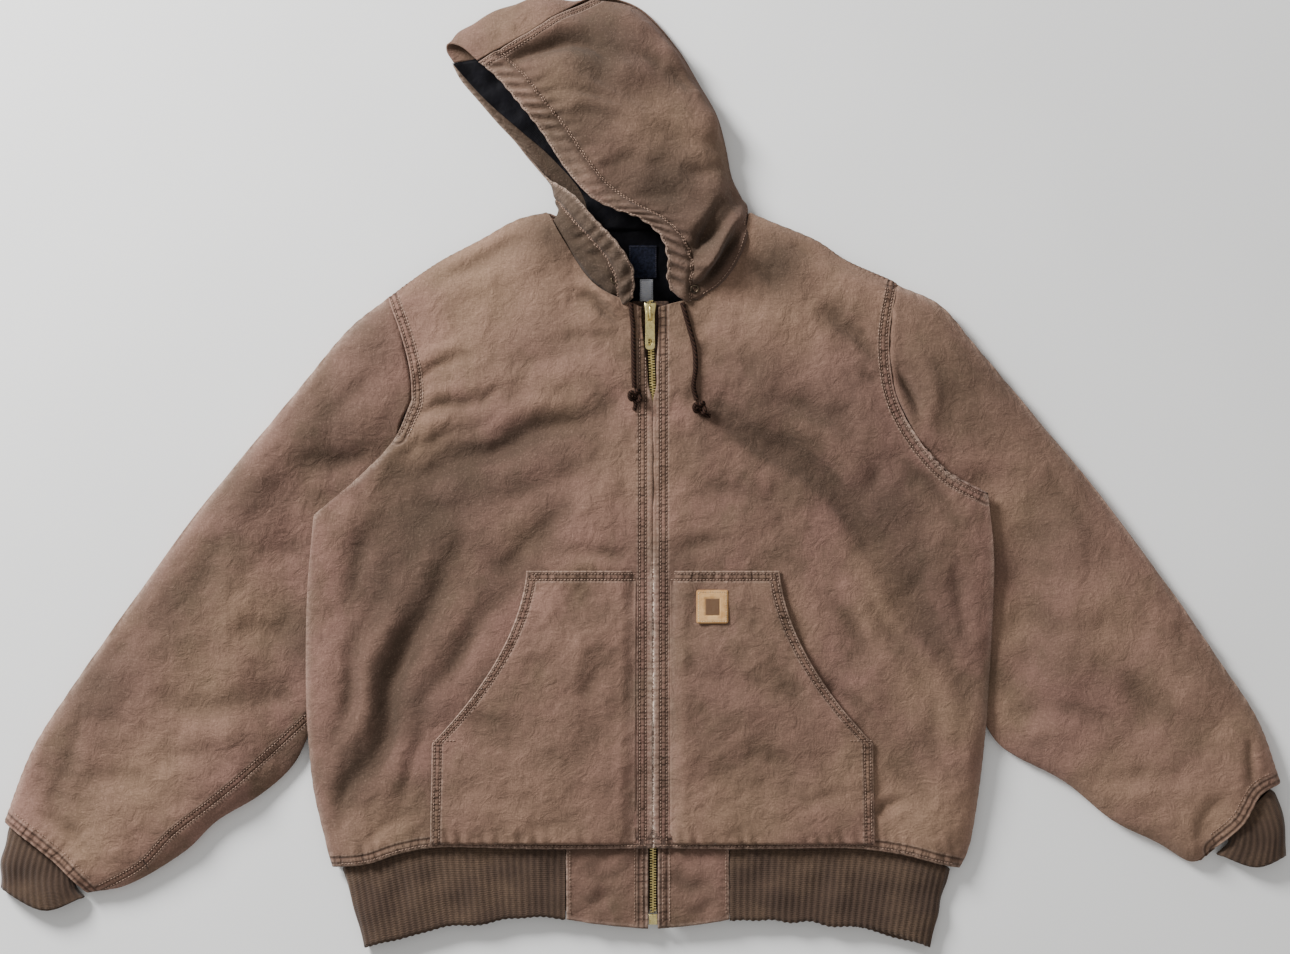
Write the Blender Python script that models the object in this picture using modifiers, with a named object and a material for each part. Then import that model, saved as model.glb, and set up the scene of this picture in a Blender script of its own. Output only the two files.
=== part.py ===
"""A hooded canvas work jacket, zipped up and laid on its back, as the pieces its maker cuts and sews.

Run with: blender --background --python part.py
X runs across the jacket, the wearer's left towards +X, Y runs from the hem up to the hood, and the floor
it lies on is z = 0. Lengths are written in millimetres, measured from the middle of the chest, and at()
turns them into metres with the origin under the middle of the whole jacket.
"""

import math

import bmesh
import bpy
import numpy as np

# Driving sizes, in millimetres
MIDDLE_X, MIDDLE_Y = -1.0, 6.0  # the middle of the laid jacket, from the middle of the chest
CANVAS = 2.2  # wall of the brown canvas with its lining
RIB = 2.4  # wall of the knitted rib
LINING = 1.2  # wall of the dark lining where it shows
HOOD_LIFT = 1.6  # how far the hood's lower side rises where it leaves the neck
SEAM = 0.5  # room left between two pieces at a seam
LAID = 0.4  # room under a piece that lies on another
EDGE_Z = 6.0  # height of the side seams, half way round the folded edge
BODY_HEIGHT, SLEEVE_HEIGHT, HEM_HEIGHT = 33.0, 26.0, 21.0
TOP_ROLL, UNDER_ROLL = 46.0, 13.0  # how far in from the edge the cloth is still rising
SLEEVE_DIP = 12.0  # how far a sleeve is pressed down under the front that folds over it
CENTRE_X = 8.0  # where the two fronts meet
FRONT_GAP = 2.0
TUCK = 8.0  # how far rib and cuffs reach inside the canvas

# Zip, in millimetres
TAPE_WIDTH, TEETH_WIDTH, TEETH_THICK = 15.0, 6.5, 2.2
ZIP_TOP, ZIP_BOTTOM = 177.0, -436.0
SLIDER = (13.0, 22.0, 3.0)
SLIDER_Y = 163.0
PULL_WIDTH, PULL_LENGTH, PULL_THICK = 9.0, 28.0, 1.6
CORD = 4.8

BROWN, RIB_BROWN, BLACK = (0.235, 0.15, 0.115), (0.09, 0.055, 0.038), (0.007, 0.007, 0.012)
BRASS, TAN, CORD_BROWN = (0.72, 0.62, 0.3), (0.5, 0.3, 0.14), (0.04, 0.02, 0.015)
PALE, NAVY = (0.6, 0.62, 0.72), (0.02, 0.022, 0.04)

# Outlines, in millimetres, seen from above. RIGHT and LEFT are the wearer's.
RIGHT_SHOULDER = [(-97, 265), (-129, 257), (-165, 237), (-203, 217), (-233, 197), (-257, 179)]
LEFT_SHOULDER = [(104, 265), (125, 256), (171, 237), (201, 217), (246, 197), (252, 192)]
RIGHT_TOP_EDGE = [(-257, 179), (-297, 147), (-347, 87), (-397, 27), (-446, -33), (-490, -93),
                  (-533, -153), (-575, -213), (-613, -273), (-641, -345)]
LEFT_TOP_EDGE = [(252, 192), (295, 172), (330, 132), (393, 57), (443, -3), (489, -63),
                 (533, -123), (574, -183), (613, -243), (636, -306)]
RIGHT_LOWER_EDGE = [(-333, -250), (-352, -288), (-385, -318), (-428, -344), (-461, -375),
                    (-515, -407), (-558, -416)]
LEFT_LOWER_EDGE = [(337, -242), (352, -265), (372, -280), (420, -305), (467, -343),
                   (513, -366), (547, -385), (568, -372)]
RIGHT_CUFF_EDGE = [(-641, -345), (-615, -363), (-587, -386), (-558, -416)]
LEFT_CUFF_EDGE = [(636, -306), (614, -318), (597, -346), (568, -372)]
RIGHT_ARMHOLE = [(-257, 179), (-243, 142), (-234, 107), (-232, 77)]
RIGHT_FOLD = [(-232, 77), (-250, 37), (-285, 0), (-330, -38)]
RIGHT_SIDE = [(-330, -38), (-337, -123), (-338, -223), (-333, -303), (-320, -363), (-313, -390)]
LEFT_ARMHOLE = [(252, 192), (245, 157), (243, 127), (248, 87), (260, 57)]
LEFT_FOLD = [(260, 57), (280, 27), (305, 2), (342, -18)]
LEFT_SIDE = [(342, -18), (348, -93), (342, -223), (337, -290), (326, -363), (315, -391)]
RIGHT_SLEEVE_END = [(-257, 179), (-244, 142), (-235, 107), (-234, 77), (-244, 55), (-248, 30),
                    (-264, -15), (-290, -60), (-318, -108), (-328, -180), (-333, -250)]
LEFT_SLEEVE_END = [(252, 192), (246, 157), (244, 127), (249, 87), (262, 57), (280, 22),
                   (296, -15), (306, -60), (318, -108), (331, -180), (337, -242)]
RIGHT_BACK_ARMHOLE = [(-257, 179), (-247, 120), (-246, 60), (-260, 0), (-288, -55),
                      (-318, -108), (-328, -180), (-333, -250)]
LEFT_BACK_ARMHOLE = [(252, 192), (245, 125), (246, 60), (262, 0), (288, -55),
                     (318, -108), (331, -180), (337, -242)]
RIGHT_HEM = [(CENTRE_X, -370), (-103, -371), (-200, -369), (-243, -375), (-277, -386), (-313, -390)]
LEFT_HEM = [(CENTRE_X, -370), (100, -371), (200, -370), (254, -376), (293, -386), (315, -391)]
RIGHT_RIB_LOW = [(-79, -444), (-105, -439), (-165, -446), (-212, -454), (-281, -470)]
LEFT_RIB_LOW = [(85, -442), (145, -444), (198, -449), (250, -456), (286, -470)]
RIGHT_NECK = [(-14, 169), (-50, 192), (-81, 236), (-97, 265)]
LEFT_NECK = [(24, 168), (71, 189), (97, 236), (104, 265)]
BACK_NECK = [(-97, 265), (-60, 252), (0, 246), (60, 252), (104, 265)]
RIGHT_CORD = [(-13, 160), (-12, 150), (-11.5, 120), (-11, 98), (-10.5, 88.5)]
LEFT_CORD = [(40, 162), (44, 148), (49, 128), (50, 108), (48, 90), (51, 76.5)]
RIGHT_KNOT, LEFT_KNOT = (-10, 80.4), (54, 68.5)


def at(points):
    """Millimetres from the middle of the chest, as metres from the origin."""
    moved = np.asarray(points, float) - np.array([MIDDLE_X, MIDDLE_Y, 0.0])
    return moved * 0.001


def ease(low, high, value):
    """0 below low, 1 above high, and a smooth rise between."""
    t = np.clip((np.asarray(value, float) - low) / (high - low), 0.0, 1.0)
    return t * t * (3 - 2 * t)


def path(points):
    """A function from 0..1 to the place that far along a smooth curve through the points."""
    given = np.asarray(points, float)
    ends = np.vstack([2 * given[0] - given[1], given, 2 * given[-1] - given[-2]])
    steps = np.linspace(0, 1, 13)[:-1, None]
    pieces = []
    for a, b, c, d in zip(ends, ends[1:], ends[2:], ends[3:]):
        pieces.append(0.5 * (2 * b + (c - a) * steps + (2 * a - 5 * b + 4 * c - d) * steps**2
                             + (3 * b - a - 3 * c + d) * steps**3))
    dense = np.vstack(pieces + [given[-1:]])
    length = np.concatenate([[0], np.cumsum(np.linalg.norm(np.diff(dense, axis=0), axis=1))])
    length /= length[-1]

    def along(t):
        return np.stack([np.interp(t, length, dense[:, k]) for k in range(dense.shape[1])], -1)

    return along


def joined(*curves, count=40):
    """One path through several, with its corners kept."""
    t = np.linspace(0, 1, count)
    dense = np.vstack([curve(t) for curve in curves])
    length = np.concatenate([[0], np.cumsum(np.linalg.norm(np.diff(dense, axis=0), axis=1))])
    length /= length[-1]

    def along(where):
        return np.stack([np.interp(where, length, dense[:, k]) for k in range(dense.shape[1])], -1)

    return along


def patch(start, end, first, last, across, up):
    """A panel's points between four edges: start and end run across, first and last run up."""
    u, v = np.meshgrid(across, up)
    u, v = u[..., None], v[..., None]
    low, high = start(u[..., 0]), end(u[..., 0])
    near, far = first(v[..., 0]), last(v[..., 0])
    corners = ((1 - u) * (1 - v) * start(0.0) + u * (1 - v) * start(1.0)
               + (1 - u) * v * end(0.0) + u * v * end(1.0))
    return (1 - v) * low + v * high + (1 - u) * near + u * far - corners


def nearest(points, edge, count=160):
    """How far each point is from an edge, and the edge's place nearest to it."""
    line = edge(np.linspace(0, 1, count))
    flat = points[..., :2].reshape(-1, 2)
    away = np.linalg.norm(flat[:, None, :] - line[None, :, :2], axis=2)
    best = away.argmin(1)
    shape = points.shape[:-1]
    return away.min(1).reshape(shape), line[best].reshape(shape + (line.shape[1],))


def rise(distance, width):
    """The rounded rise of folded cloth, 0 on its edge and 1 past the roll's width."""
    t = np.clip(distance / width, 0.0, 1.0)
    return np.sqrt(1 - (1 - t) ** 2)


def fullness(points):
    """Height of the upper layer away from its edges."""
    x, y = np.abs(points[..., 0]), points[..., 1]
    body = (BODY_HEIGHT - SLEEVE_HEIGHT) * (1 - ease(60, 265, x)) * (1 - 0.8 * ease(60, 220, y))
    hem = (SLEEVE_HEIGHT - HEM_HEIGHT + body) * ease(-230, -372, y)
    arm = 5.0 * ease(300, 640, x)
    return SLEEVE_HEIGHT + body - hem * (1 - ease(340, 420, x)) - arm


def roof(points, edges, height):
    """The upper layer: up from the nearest of its edges, each an (edge, roll width) pair."""
    result = height
    for edge, width in edges:
        distance, place = nearest(points, edge)
        result = np.minimum(result, place[..., 2] + (height - place[..., 2]) * rise(distance, width))
    return result


def with_height(points, height):
    """A flat curve's points with a height given at evenly spaced places along it."""
    flat = path(points)
    if len(height) == 1:
        height = height * 2
    steps = np.linspace(0, 1, len(height))

    def along(t):
        return np.concatenate([flat(t), np.interp(t, steps, height)[..., None]], -1)

    return along


def material(name, colour, roughness, metallic=0.0):
    """A plain material of one colour."""
    made = bpy.data.materials.new(name)
    made.use_nodes = True
    shader = made.node_tree.nodes["Principled BSDF"]
    shader.inputs["Base Color"].default_value = (*colour, 1.0)
    shader.inputs["Roughness"].default_value = roughness
    shader.inputs["Metallic"].default_value = metallic
    return made


def keep(name, mesh, collection, look):
    """The mesh as a named object in the collection."""
    made = bpy.data.objects.new(name, mesh)
    mesh.materials.clear()
    mesh.materials.append(look)
    collection.objects.link(made)
    return made


def cloth(name, points, wall, collection, look, closed=False, flip=False):
    """A panel of cloth: a grid laid through the points, its outer side, with the wall inside it.

    points has a row for each step up the panel. A closed panel is a tube, round its rows.
    """
    rows, columns = points.shape[:2]
    mesh = bpy.data.meshes.new(name)
    grid = bmesh.new()
    bmesh.ops.create_grid(grid, x_segments=columns - 1, y_segments=rows - 1, size=1.0)
    grid.verts.ensure_lookup_table()
    places = at(points).reshape(-1, 3)
    for vert, place in zip(grid.verts, places):
        vert.co = place
    if closed:
        bmesh.ops.remove_doubles(grid, verts=grid.verts, dist=0.00001)
    if flip:
        bmesh.ops.reverse_faces(grid, faces=grid.faces)
    grid.to_mesh(mesh)
    grid.free()
    mesh.shade_smooth()
    made = keep(name, mesh, collection, look)
    shell = made.modifiers.new("Wall", "SOLIDIFY")
    shell.thickness = wall * 0.001
    shell.offset = -1.0
    shell.use_rim = True
    return made


def box(name, low, high, collection, look, round_edge=0.0):
    """A block between two corners, in millimetres, its edges rounded."""
    low, high = at(low), at(high)
    mesh = bpy.data.meshes.new(name)
    shape = bmesh.new()
    bmesh.ops.create_cube(shape, size=1.0)
    bmesh.ops.scale(shape, vec=high - low, verts=shape.verts)
    shape.to_mesh(mesh)
    shape.free()
    made = keep(name, mesh, collection, look)
    made.location = (low + high) / 2
    if round_edge:
        bevel = made.modifiers.new("Round", "BEVEL")
        bevel.width = round_edge * 0.001
        bevel.segments = 2
    return made


def columns_from(distances, span):
    """Fractions across a panel, its last ones at these distances from the far edge."""
    return np.array([1 - d / span for d in distances])


# The edges of the upper layer, with the height of the cloth along them

def side_edge(side):
    """From the armhole, over the fold above the sleeve and down the side, to the hem."""
    over_sleeve, flank = {"right": (RIGHT_FOLD, RIGHT_SIDE), "left": (LEFT_FOLD, LEFT_SIDE)}[side]
    fold = with_height(over_sleeve, (26.0, 25.5, 24.5, 23.0))

    def down(t):
        place = path(flank)(t)
        y = place[..., 1]
        z = EDGE_Z + 0.4 + 9.6 * ease(-275, -235, y) + 7.0 * ease(-240, -40, y)
        return np.concatenate([place, z[..., None]], -1)

    return joined(fold, down)


def upper_edge(side):
    """The folded edge along the shoulder and the top of the sleeve."""
    shoulder, sleeve = {"right": (RIGHT_SHOULDER, RIGHT_TOP_EDGE),
                        "left": (LEFT_SHOULDER, LEFT_TOP_EDGE)}[side]
    return joined(with_height(shoulder, (EDGE_Z,)), with_height(sleeve, (EDGE_Z,)))


def lower_edge(side):
    """The folded edge along the under side of the sleeve."""
    return with_height({"right": RIGHT_LOWER_EDGE, "left": LEFT_LOWER_EDGE}[side], (EDGE_Z,))


def front_height(points, side):
    """How high a front's upper side is under its outline."""
    return roof(points, [(side_edge(side), TOP_ROLL), (upper_edge(side), TOP_ROLL)], fullness(points))


def centre_edge(side):
    """The front's zip edge from hem to neck, leaning open at the top to show the zip."""
    sign = -1 if side == "right" else 1

    def along(t):
        y = -370 + 539 * np.asarray(t, float)
        x = CENTRE_X - 3.0 * ease(60, 170, y) + sign * (FRONT_GAP / 2 + 8.5 * ease(75, 160, y))
        return np.stack([x, y], -1)

    return along


def front_points(side):
    """A front panel, from hem to shoulder and from the zip out to the side."""
    shoulder, neck, hem, armhole, fold, flank = {
        "right": (RIGHT_SHOULDER, RIGHT_NECK, RIGHT_HEM, RIGHT_ARMHOLE, RIGHT_FOLD, RIGHT_SIDE),
        "left": (LEFT_SHOULDER, LEFT_NECK, LEFT_HEM, LEFT_ARMHOLE, LEFT_FOLD, LEFT_SIDE)}[side]
    middle = centre_edge(side)
    outer = joined(path(flank[::-1]), path(fold[::-1]), path(armhole[::-1]))
    top = joined(path([tuple(middle(1.0))] + neck[1:]), path(shoulder))
    bottom = path([tuple(middle(0.0))] + hem[1:])
    across = np.concatenate([[0, 0.1, 0.22, 0.34, 0.46, 0.57, 0.67, 0.76],
                             columns_from((52, 31, 17, 8, 2.8, 0), 330)])
    up = np.linspace(0, 1, 22)
    plan = patch(bottom, top, middle, outer, across, up)
    return np.dstack([plan, front_height(plan, side)])


def sleeve_height(points, side):
    """A sleeve's upper layer, pressed down where the front folds over it."""
    top_of_dip = {"right": 112.0, "left": 76.0}[side]
    distance, _ = nearest(points, side_edge(side))
    over = points[..., 0] * (-1 if side == "right" else 1)
    reach = 1 - ease(18, 85, np.where(over > 300, distance, 0.9 * distance))
    dip = SLEEVE_DIP * ease(top_of_dip, top_of_dip - 90, points[..., 1]) * reach
    height = fullness(points) - dip
    return roof(points, [(upper_edge(side), TOP_ROLL), (lower_edge(side), TOP_ROLL * 0.85)], height)


def underside(points, edges):
    """The lower layer: on the floor, curling up to the seam height at its edges."""
    result = np.zeros(points.shape[:-1])
    for edge in edges:
        distance, place = nearest(points, edge)
        result = np.maximum(result, place[..., 2] * (1 - rise(distance, UNDER_ROLL)))
    return result


def sleeve_points(side):
    """A sleeve as one tube: the upper layer from the top edge to the lower one, then back beneath."""
    ends, back, cuff, top, low = {
        "right": (RIGHT_SLEEVE_END, RIGHT_BACK_ARMHOLE, RIGHT_CUFF_EDGE, RIGHT_TOP_EDGE, RIGHT_LOWER_EDGE),
        "left": (LEFT_SLEEVE_END, LEFT_BACK_ARMHOLE, LEFT_CUFF_EDGE, LEFT_TOP_EDGE, LEFT_LOWER_EDGE)}[side]
    over = np.array([0, 0.018, 0.06, 0.14, 0.26, 0.38, 0.5, 0.62, 0.74, 0.86, 0.94, 0.982, 1])
    under = np.array([0.985, 0.94, 0.75, 0.5, 0.25, 0.06, 0.015])
    along = np.linspace(0, 1, 14)
    out = path(top)
    inner = path(low)
    upper = patch(path(ends), path(cuff), out, inner, over, along)
    lower = patch(path(back), path(cuff), out, inner, under, along)
    upper = np.dstack([upper, sleeve_height(upper, side)])
    edges = [with_height(top, (EDGE_Z,)), lower_edge(side)]
    lower = np.dstack([lower, underside(lower, edges)])
    ring = np.concatenate([upper, lower, upper[:, :1]], axis=1)
    inward = path(ends)(0.5) - path(cuff)(0.5)
    inward = inward / np.linalg.norm(inward)
    ring[0, :, :2] -= inward * SEAM
    return ring


def back_points():
    """The back panel, flat on the floor, its edges curling up to the fronts' at shoulders and sides."""
    right = joined(path([(-310, -389), (-327, -330), (-329, -290), (-325, -250)]),
                   path([(x + 8, y) for x, y in RIGHT_BACK_ARMHOLE[::-1]]))
    left = joined(path([(312, -390), (329, -330), (333, -290), (331, -242)]),
                  path([(x - 6, y) for x, y in LEFT_BACK_ARMHOLE[::-1]]))
    bottom = path([(-310, -389), (-250, -377), (-150, -371), (0, -370), (150, -372), (250, -378),
                   (312, -390)])
    top = joined(path([(-249, 179)] + RIGHT_SHOULDER[-2::-1]), path(BACK_NECK),
                 path(LEFT_SHOULDER[:-1] + [(246, 192)]))
    across = np.concatenate([[0, 0.015, 0.04], np.linspace(0.12, 0.88, 6), [0.96, 0.985, 1]])
    up = np.concatenate([np.linspace(0, 0.93, 17), [0.975, 0.992, 1]])
    plan = patch(bottom, top, right, left, across, up)
    low = EDGE_Z - SEAM
    shoulders = [with_height(RIGHT_SHOULDER, (low, low, low, low - 2)),
                 with_height(LEFT_SHOULDER, (low, low, low, low - 2))]
    flanks = [with_height([(-329, -310), (-320, -363), (-313, -390)], (0, low, low)),
              with_height([(332, -310), (326, -363), (315, -391)], (0, low, low))]
    return np.dstack([plan, underside(plan, shoulders + flanks)])


def rib_points():
    """The waistband, a C: from beside the right waist tab, round under the jacket, to the left tab."""
    def front_column(x_top, x_bottom, fraction, tuck, sign):
        hem, low, start = {-1: (RIGHT_HEM, RIGHT_RIB_LOW, 79.0), 1: (LEFT_HEM, LEFT_RIB_LOW, 85.0)}[sign]
        t = (abs(x_bottom) - start) / (284.0 - start)
        top = np.array([x_top, path(hem)(fraction)[1] + tuck])
        return top, np.array([x_bottom, path(low)(np.clip(t, 0, 1))[1]])

    def front(sign):
        start, side_top, side_low = {-1: (79.6, 303.0, 281.0), 1: (84.6, 305.0, 286.0)}[sign]
        for t in (0, 0.2, 0.4, 0.6, 0.78, 0.9, 0.965, 0.99):
            x_top, x_low = start + (side_top - start) * t, start + (side_low - start) * t
            inward = side_top - x_top
            tuck = TUCK * ease(2, 24, inward) - 1.0
            top, low = front_column(sign * x_top, sign * x_low, x_top / (313.0 + sign), tuck, sign)
            z = EDGE_Z - 1 + 10.0 * rise(inward, 34.0)
            yield np.array([*top, z]), np.array([*low, z - 1.5 * ease(0, 60, inward)])

    middle = [(np.array([-303.0, -392, 5]), np.array([-281.0, -470, 5])),
              (np.array([-301.0, -393, 2]), np.array([-279.0, -469, 2])),
              (np.array([-294.0, -392, 0]), np.array([-272.0, -468, 0]))]
    for t in np.linspace(-0.8, 0.8, 9):
        x = 288.0 * t
        middle.append((np.array([x, -373 - 15 * t * t, 0]), np.array([x * 0.94, -434 - 30 * t * t, 0])))
    middle += [(np.array([296.0, -393, 0]), np.array([277.0, -468, 0])),
               (np.array([303.0, -394, 2]), np.array([284.0, -469, 2])),
               (np.array([305.0, -393, 5]), np.array([286.0, -470, 5]))]
    stations = list(front(-1)) + middle + list(front(1))[::-1]
    return np.array([[top + (low - top) * t for top, low in stations] for t in (0, 0.35, 0.7, 1)])


def cuff_points(side):
    """A rib cuff as a flattened tube, from inside the sleeve's end to its own."""
    rows = {"right": [((-628, -344), (-604, -364), (-572, -392), 3.2, 12.0),
                      ((-637, -352), (-614, -371), (-569, -407), 3.2, 12.5),
                      ((-643, -380), (-608, -402), (-564, -421), 0.0, 16.0),
                      ((-645, -411), (-600, -432), (-553, -424), 0.0, 15.0)],
            "left": [((625, -312), (606, -330), (580, -356), 3.2, 11.5),
                     ((632, -319), (614, -336), (584, -364), 3.2, 12.0),
                     ((639, -345), (617, -364), (590, -374), 0.0, 15.5),
                     ((642, -379), (614, -389), (583, -381), 0.0, 14.0)]}[side]
    result = []
    for high, middle, low, floor, thick in rows:
        across = path([high, middle, low])
        over = np.array([0, 0.03, 0.12, 0.3, 0.5, 0.7, 0.88, 0.97, 1])
        under = np.array([0.95, 0.75, 0.5, 0.25, 0.05])
        span = np.linalg.norm(np.subtract(high, low))
        mid = floor + thick * 0.35
        up = mid + (floor + thick - mid) * rise(np.minimum(over, 1 - over) * span, 18.0)
        down = floor + (mid - floor) * (1 - rise(np.minimum(under, 1 - under) * span, 10.0))
        ring = np.concatenate([np.column_stack([across(over), up]), np.column_stack([across(under), down])])
        result.append(np.concatenate([ring, ring[:1]]))
    return np.array(result)


def on_front(plan, side, lift):
    """Points laid on a front, this far above it."""
    return np.dstack([plan, front_height(plan, side) + lift])


def pocket_outer(y, side):
    """How far from the zip a pocket reaches: its curved hand opening, then its straight side."""
    sign = -1 if side == "right" else 1
    top, bottom = (-118.0, -212.0) if side == "right" else (134.0, 227.0)
    opening = np.clip((-97 - y) / 168.0, 0, 1)
    return top + (bottom - top) * (0.18 * opening + 0.82 * opening**1.9) + sign * 2.0 * ease(-262, -366, y)


def pocket_points(side):
    """A hand pocket, from beside the zip out to its curved opening, standing a little proud."""
    inner = {"right": -9.0, "left": 25.0}[side]
    up = np.array([-364.0, -330, -300, -272, -262, -240, -215, -190, -160, -130, -108, -93])
    across = np.array([0, 0.15, 0.35, 0.55, 0.75, 0.92, 1])
    y, u = np.meshgrid(up, across, indexing="ij")
    x = inner + (pocket_outer(y, side) - inner) * u
    proud = 2.5 * ease(-262, -220, y) * ease(-96, -130, y) * ease(0.3, 1.0, u)
    lift = CANVAS + 1.0 + proud
    return np.dstack([x, y, front_height(np.dstack([x, y]), side) + lift])


def tab_points(side):
    """A canvas tab at the waistband's front end, as high as the rib beside it."""
    inner, outer_top, outer_low = {"right": (3.0, -78.9, -78.4), "left": (13.0, 83.9, 84.4)}[side]
    up = np.array([0, 0.4, 0.75, 1])
    across = np.array([0, 0.3, 0.65, 1])
    v, u = np.meshgrid(up, across, indexing="ij")
    outer = outer_top + (outer_low - outer_top) * v
    x = inner + (outer - inner) * u
    y = -363 - (88 - 9 * u**1.5) * v
    return np.dstack([x, y, 15.4 - 1.5 * v + 0 * u])


def strip(inner, outer, low, high, count, lift, lean=True):
    """A straight strip along the zip, this far below the fronts' upper side."""
    y, x = np.meshgrid(np.linspace(low, high, count), np.linspace(inner, outer, 3), indexing="ij")
    middle = np.dstack([np.full_like(x, CENTRE_X), np.maximum(y, -369.0)])
    z = fullness(middle)
    z = z - (z - 13.0) * ease(-280, -345, y)
    shift = -3.0 * ease(60, 170, y) if lean else 0.0
    return np.dstack([x + CENTRE_X + shift, y, z - lift])


# The hood: each row runs from the face opening back to the seam with the centre strip

def loft(sections, count):
    """Rows of points, each along the smooth curve through one section."""
    t = np.linspace(0, 1, count)
    return np.array([path(section)(t) for section in sections])


def smooth_rows(rows, count):
    """More rows, on smooth curves through the given ones."""
    fine = np.linspace(0, 1, count)
    result = np.empty((count, rows.shape[1], 3))
    for k in range(rows.shape[1]):
        line = rows[:, k]
        ends = np.vstack([2 * line[0] - line[1], line, 2 * line[-1] - line[-2]])
        where = fine * (len(rows) - 1)
        i = np.minimum(where.astype(int), len(rows) - 2)
        s = (where - i)[:, None]
        a, b, c, d = ends[i], ends[i + 1], ends[i + 2], ends[i + 3]
        result[:, k] = 0.5 * (2 * b + (c - a) * s + (2 * a - 5 * b + 4 * c - d) * s**2
                              + (3 * b - a - 3 * c + d) * s**3)
    return result


def hood_left_points():
    """The upper side panel: face opening on the left of each row, neck or crown seam on the right."""
    sections = [
        [(25, 184, 33), (33, 178, 35), (43, 174, 31)],
        [(22, 198, 39), (45, 195, 41), (70, 191, 32)],
        [(23, 215, 43), (52, 212, 43), (87, 212, 32)],
        [(16, 238, 45), (55, 232, 44), (98, 238, 30)],
        [(-5, 256, 46), (45, 256, 43), (88, 262, 30), (103, 268, 8)],
        [(-30, 265, 46), (25, 274, 43), (78, 276, 32), (96, 280, 8.6)],
        [(-55, 278, 44), (5, 298, 42), (70, 298, 30), (86, 300, 8.6)],
        [(-80, 307, 42), (-15, 326, 42), (65, 328, 29), (80, 330, 8.6)],
        [(-103, 343, 38), (-35, 355, 42), (56, 360, 29), (71, 362, 8.6)],
        [(-124, 370, 34), (-60, 382, 40), (38, 390, 28), (54, 392, 8.6)],
        [(-144, 394, 30), (-85, 408, 36), (12, 426, 26), (30, 430, 8.6)],
        [(-158, 407, 27), (-110, 425, 31), (-22, 458, 20), (-8, 468, 8.6)],
        [(-166, 413, 25), (-128, 435, 27), (-90, 458, 20), (-52, 478, 9)],
    ]
    return smooth_rows(loft(sections, 11), 15)


def hood_right_points():
    """The lower side panel: it stands as the collar beside the zip, then lies on the floor to the crown."""
    sections = [
        [(-12, 178, 33), (-15, 175, 33), (-19, 173, 30.5)],
        [(-12, 205, 41), (-28, 198, 38), (-46, 192, 29)],
        [(-26, 230, 44), (-45, 222, 38), (-63, 213, 28)],
        [(-47, 252, 43), (-65, 244, 36), (-80, 235, 25)],
        [(-68, 277, 37), (-82, 265, 28), (-91, 257, 16)],
        [(-85, 290, 24), (-92, 278, 12), (-84, 268, 2.4), (-74, 262, 1.4)],
        [(-99, 299, 9), (-88, 285, 2), (-66, 270, 1.3), (-45, 256, 0.8)],
        [(-116, 318, 1.6), (-80, 296, 0.8), (-30, 270, 0), (0, 253, 0)],
        [(-131, 337, 0), (-75, 315, 0), (-10, 290, 0), (42, 268, 0)],
        [(-148, 355, 0), (-80, 340, 0), (-10, 325, 0), (40, 312, 0)],
        [(-167, 377, 0), (-100, 370, 0), (-30, 360, 0), (24, 352, 0)],
        [(-184, 397, 0), (-120, 395, 0), (-50, 395, 0), (2, 388, 0)],
        [(-193, 413, 0), (-150, 415, 0), (-90, 422, 0), (-40, 428, 0)],
    ]
    return smooth_rows(loft(sections, 9), 18)


def hood_centre_points():
    """The centre strip, folded over the crown from the upper side panel's seam to the lower one's."""
    sections = [
        [(-167, 415, 24), (-183, 429, 18), (-197, 434, 8), (-199, 427, 1), (-192, 415.5, 0)],
        [(-147, 426, 25.5), (-165, 440, 20), (-182, 448, 8), (-180, 441, 0.6), (-164, 419, 0)],
        [(-116, 443, 23), (-132, 458, 17), (-147, 468, 7), (-143, 461, 0.9), (-118, 425, 0)],
        [(-86, 462, 17), (-97, 474, 13), (-105, 481, 6), (-101, 472, 0.9), (-80, 430, 0)],
        [(-50, 480, 6.0), (-49, 481, 4.8), (-48, 480, 3), (-46, 474, 0.7), (-38, 431, 0)],
        [(-6, 470, 5.4), (-7, 470, 4.2), (-8, 468, 2.4), (-12, 461, 0.6), (-16, 415, 0)],
        [(31, 431, 5.4), (30, 431, 4.2), (28, 429, 2.4), (22, 425, 0.2), (4, 390, 0)],
        [(55, 392, 5.4), (54, 392, 4.2), (51, 391, 2.4), (45, 388, 0.2), (26, 352, 0)],
        [(72, 362, 5.4), (71, 362, 4.2), (68, 361, 2.4), (62, 358, 0.2), (35, 334, 0)],
        [(81, 330, 5.4), (80, 330, 4.2), (77, 329, 2.4), (70, 327, 0.2), (44, 311, 0)],
        [(87, 300, 5.4), (86, 300, 4.2), (83, 299, 2.4), (75, 297, 0.2), (47, 289, 0)],
        [(97, 279, 5.4), (96, 279, 4.2), (92, 278, 2.4), (82, 276, 0.2), (47, 266, 0)],
    ]
    return smooth_rows(loft(sections, 7), 18)


def flat_points(left, right, rows, z):
    """A flat panel between two edges on the table."""
    plan = patch(path([left[0], right[0]]), path([left[-1], right[-1]]), path(left), path(right),
                 np.linspace(0, 1, 6), np.linspace(0, 1, rows))
    return np.dstack([plan, np.full(plan.shape[:2], z)])


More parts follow.
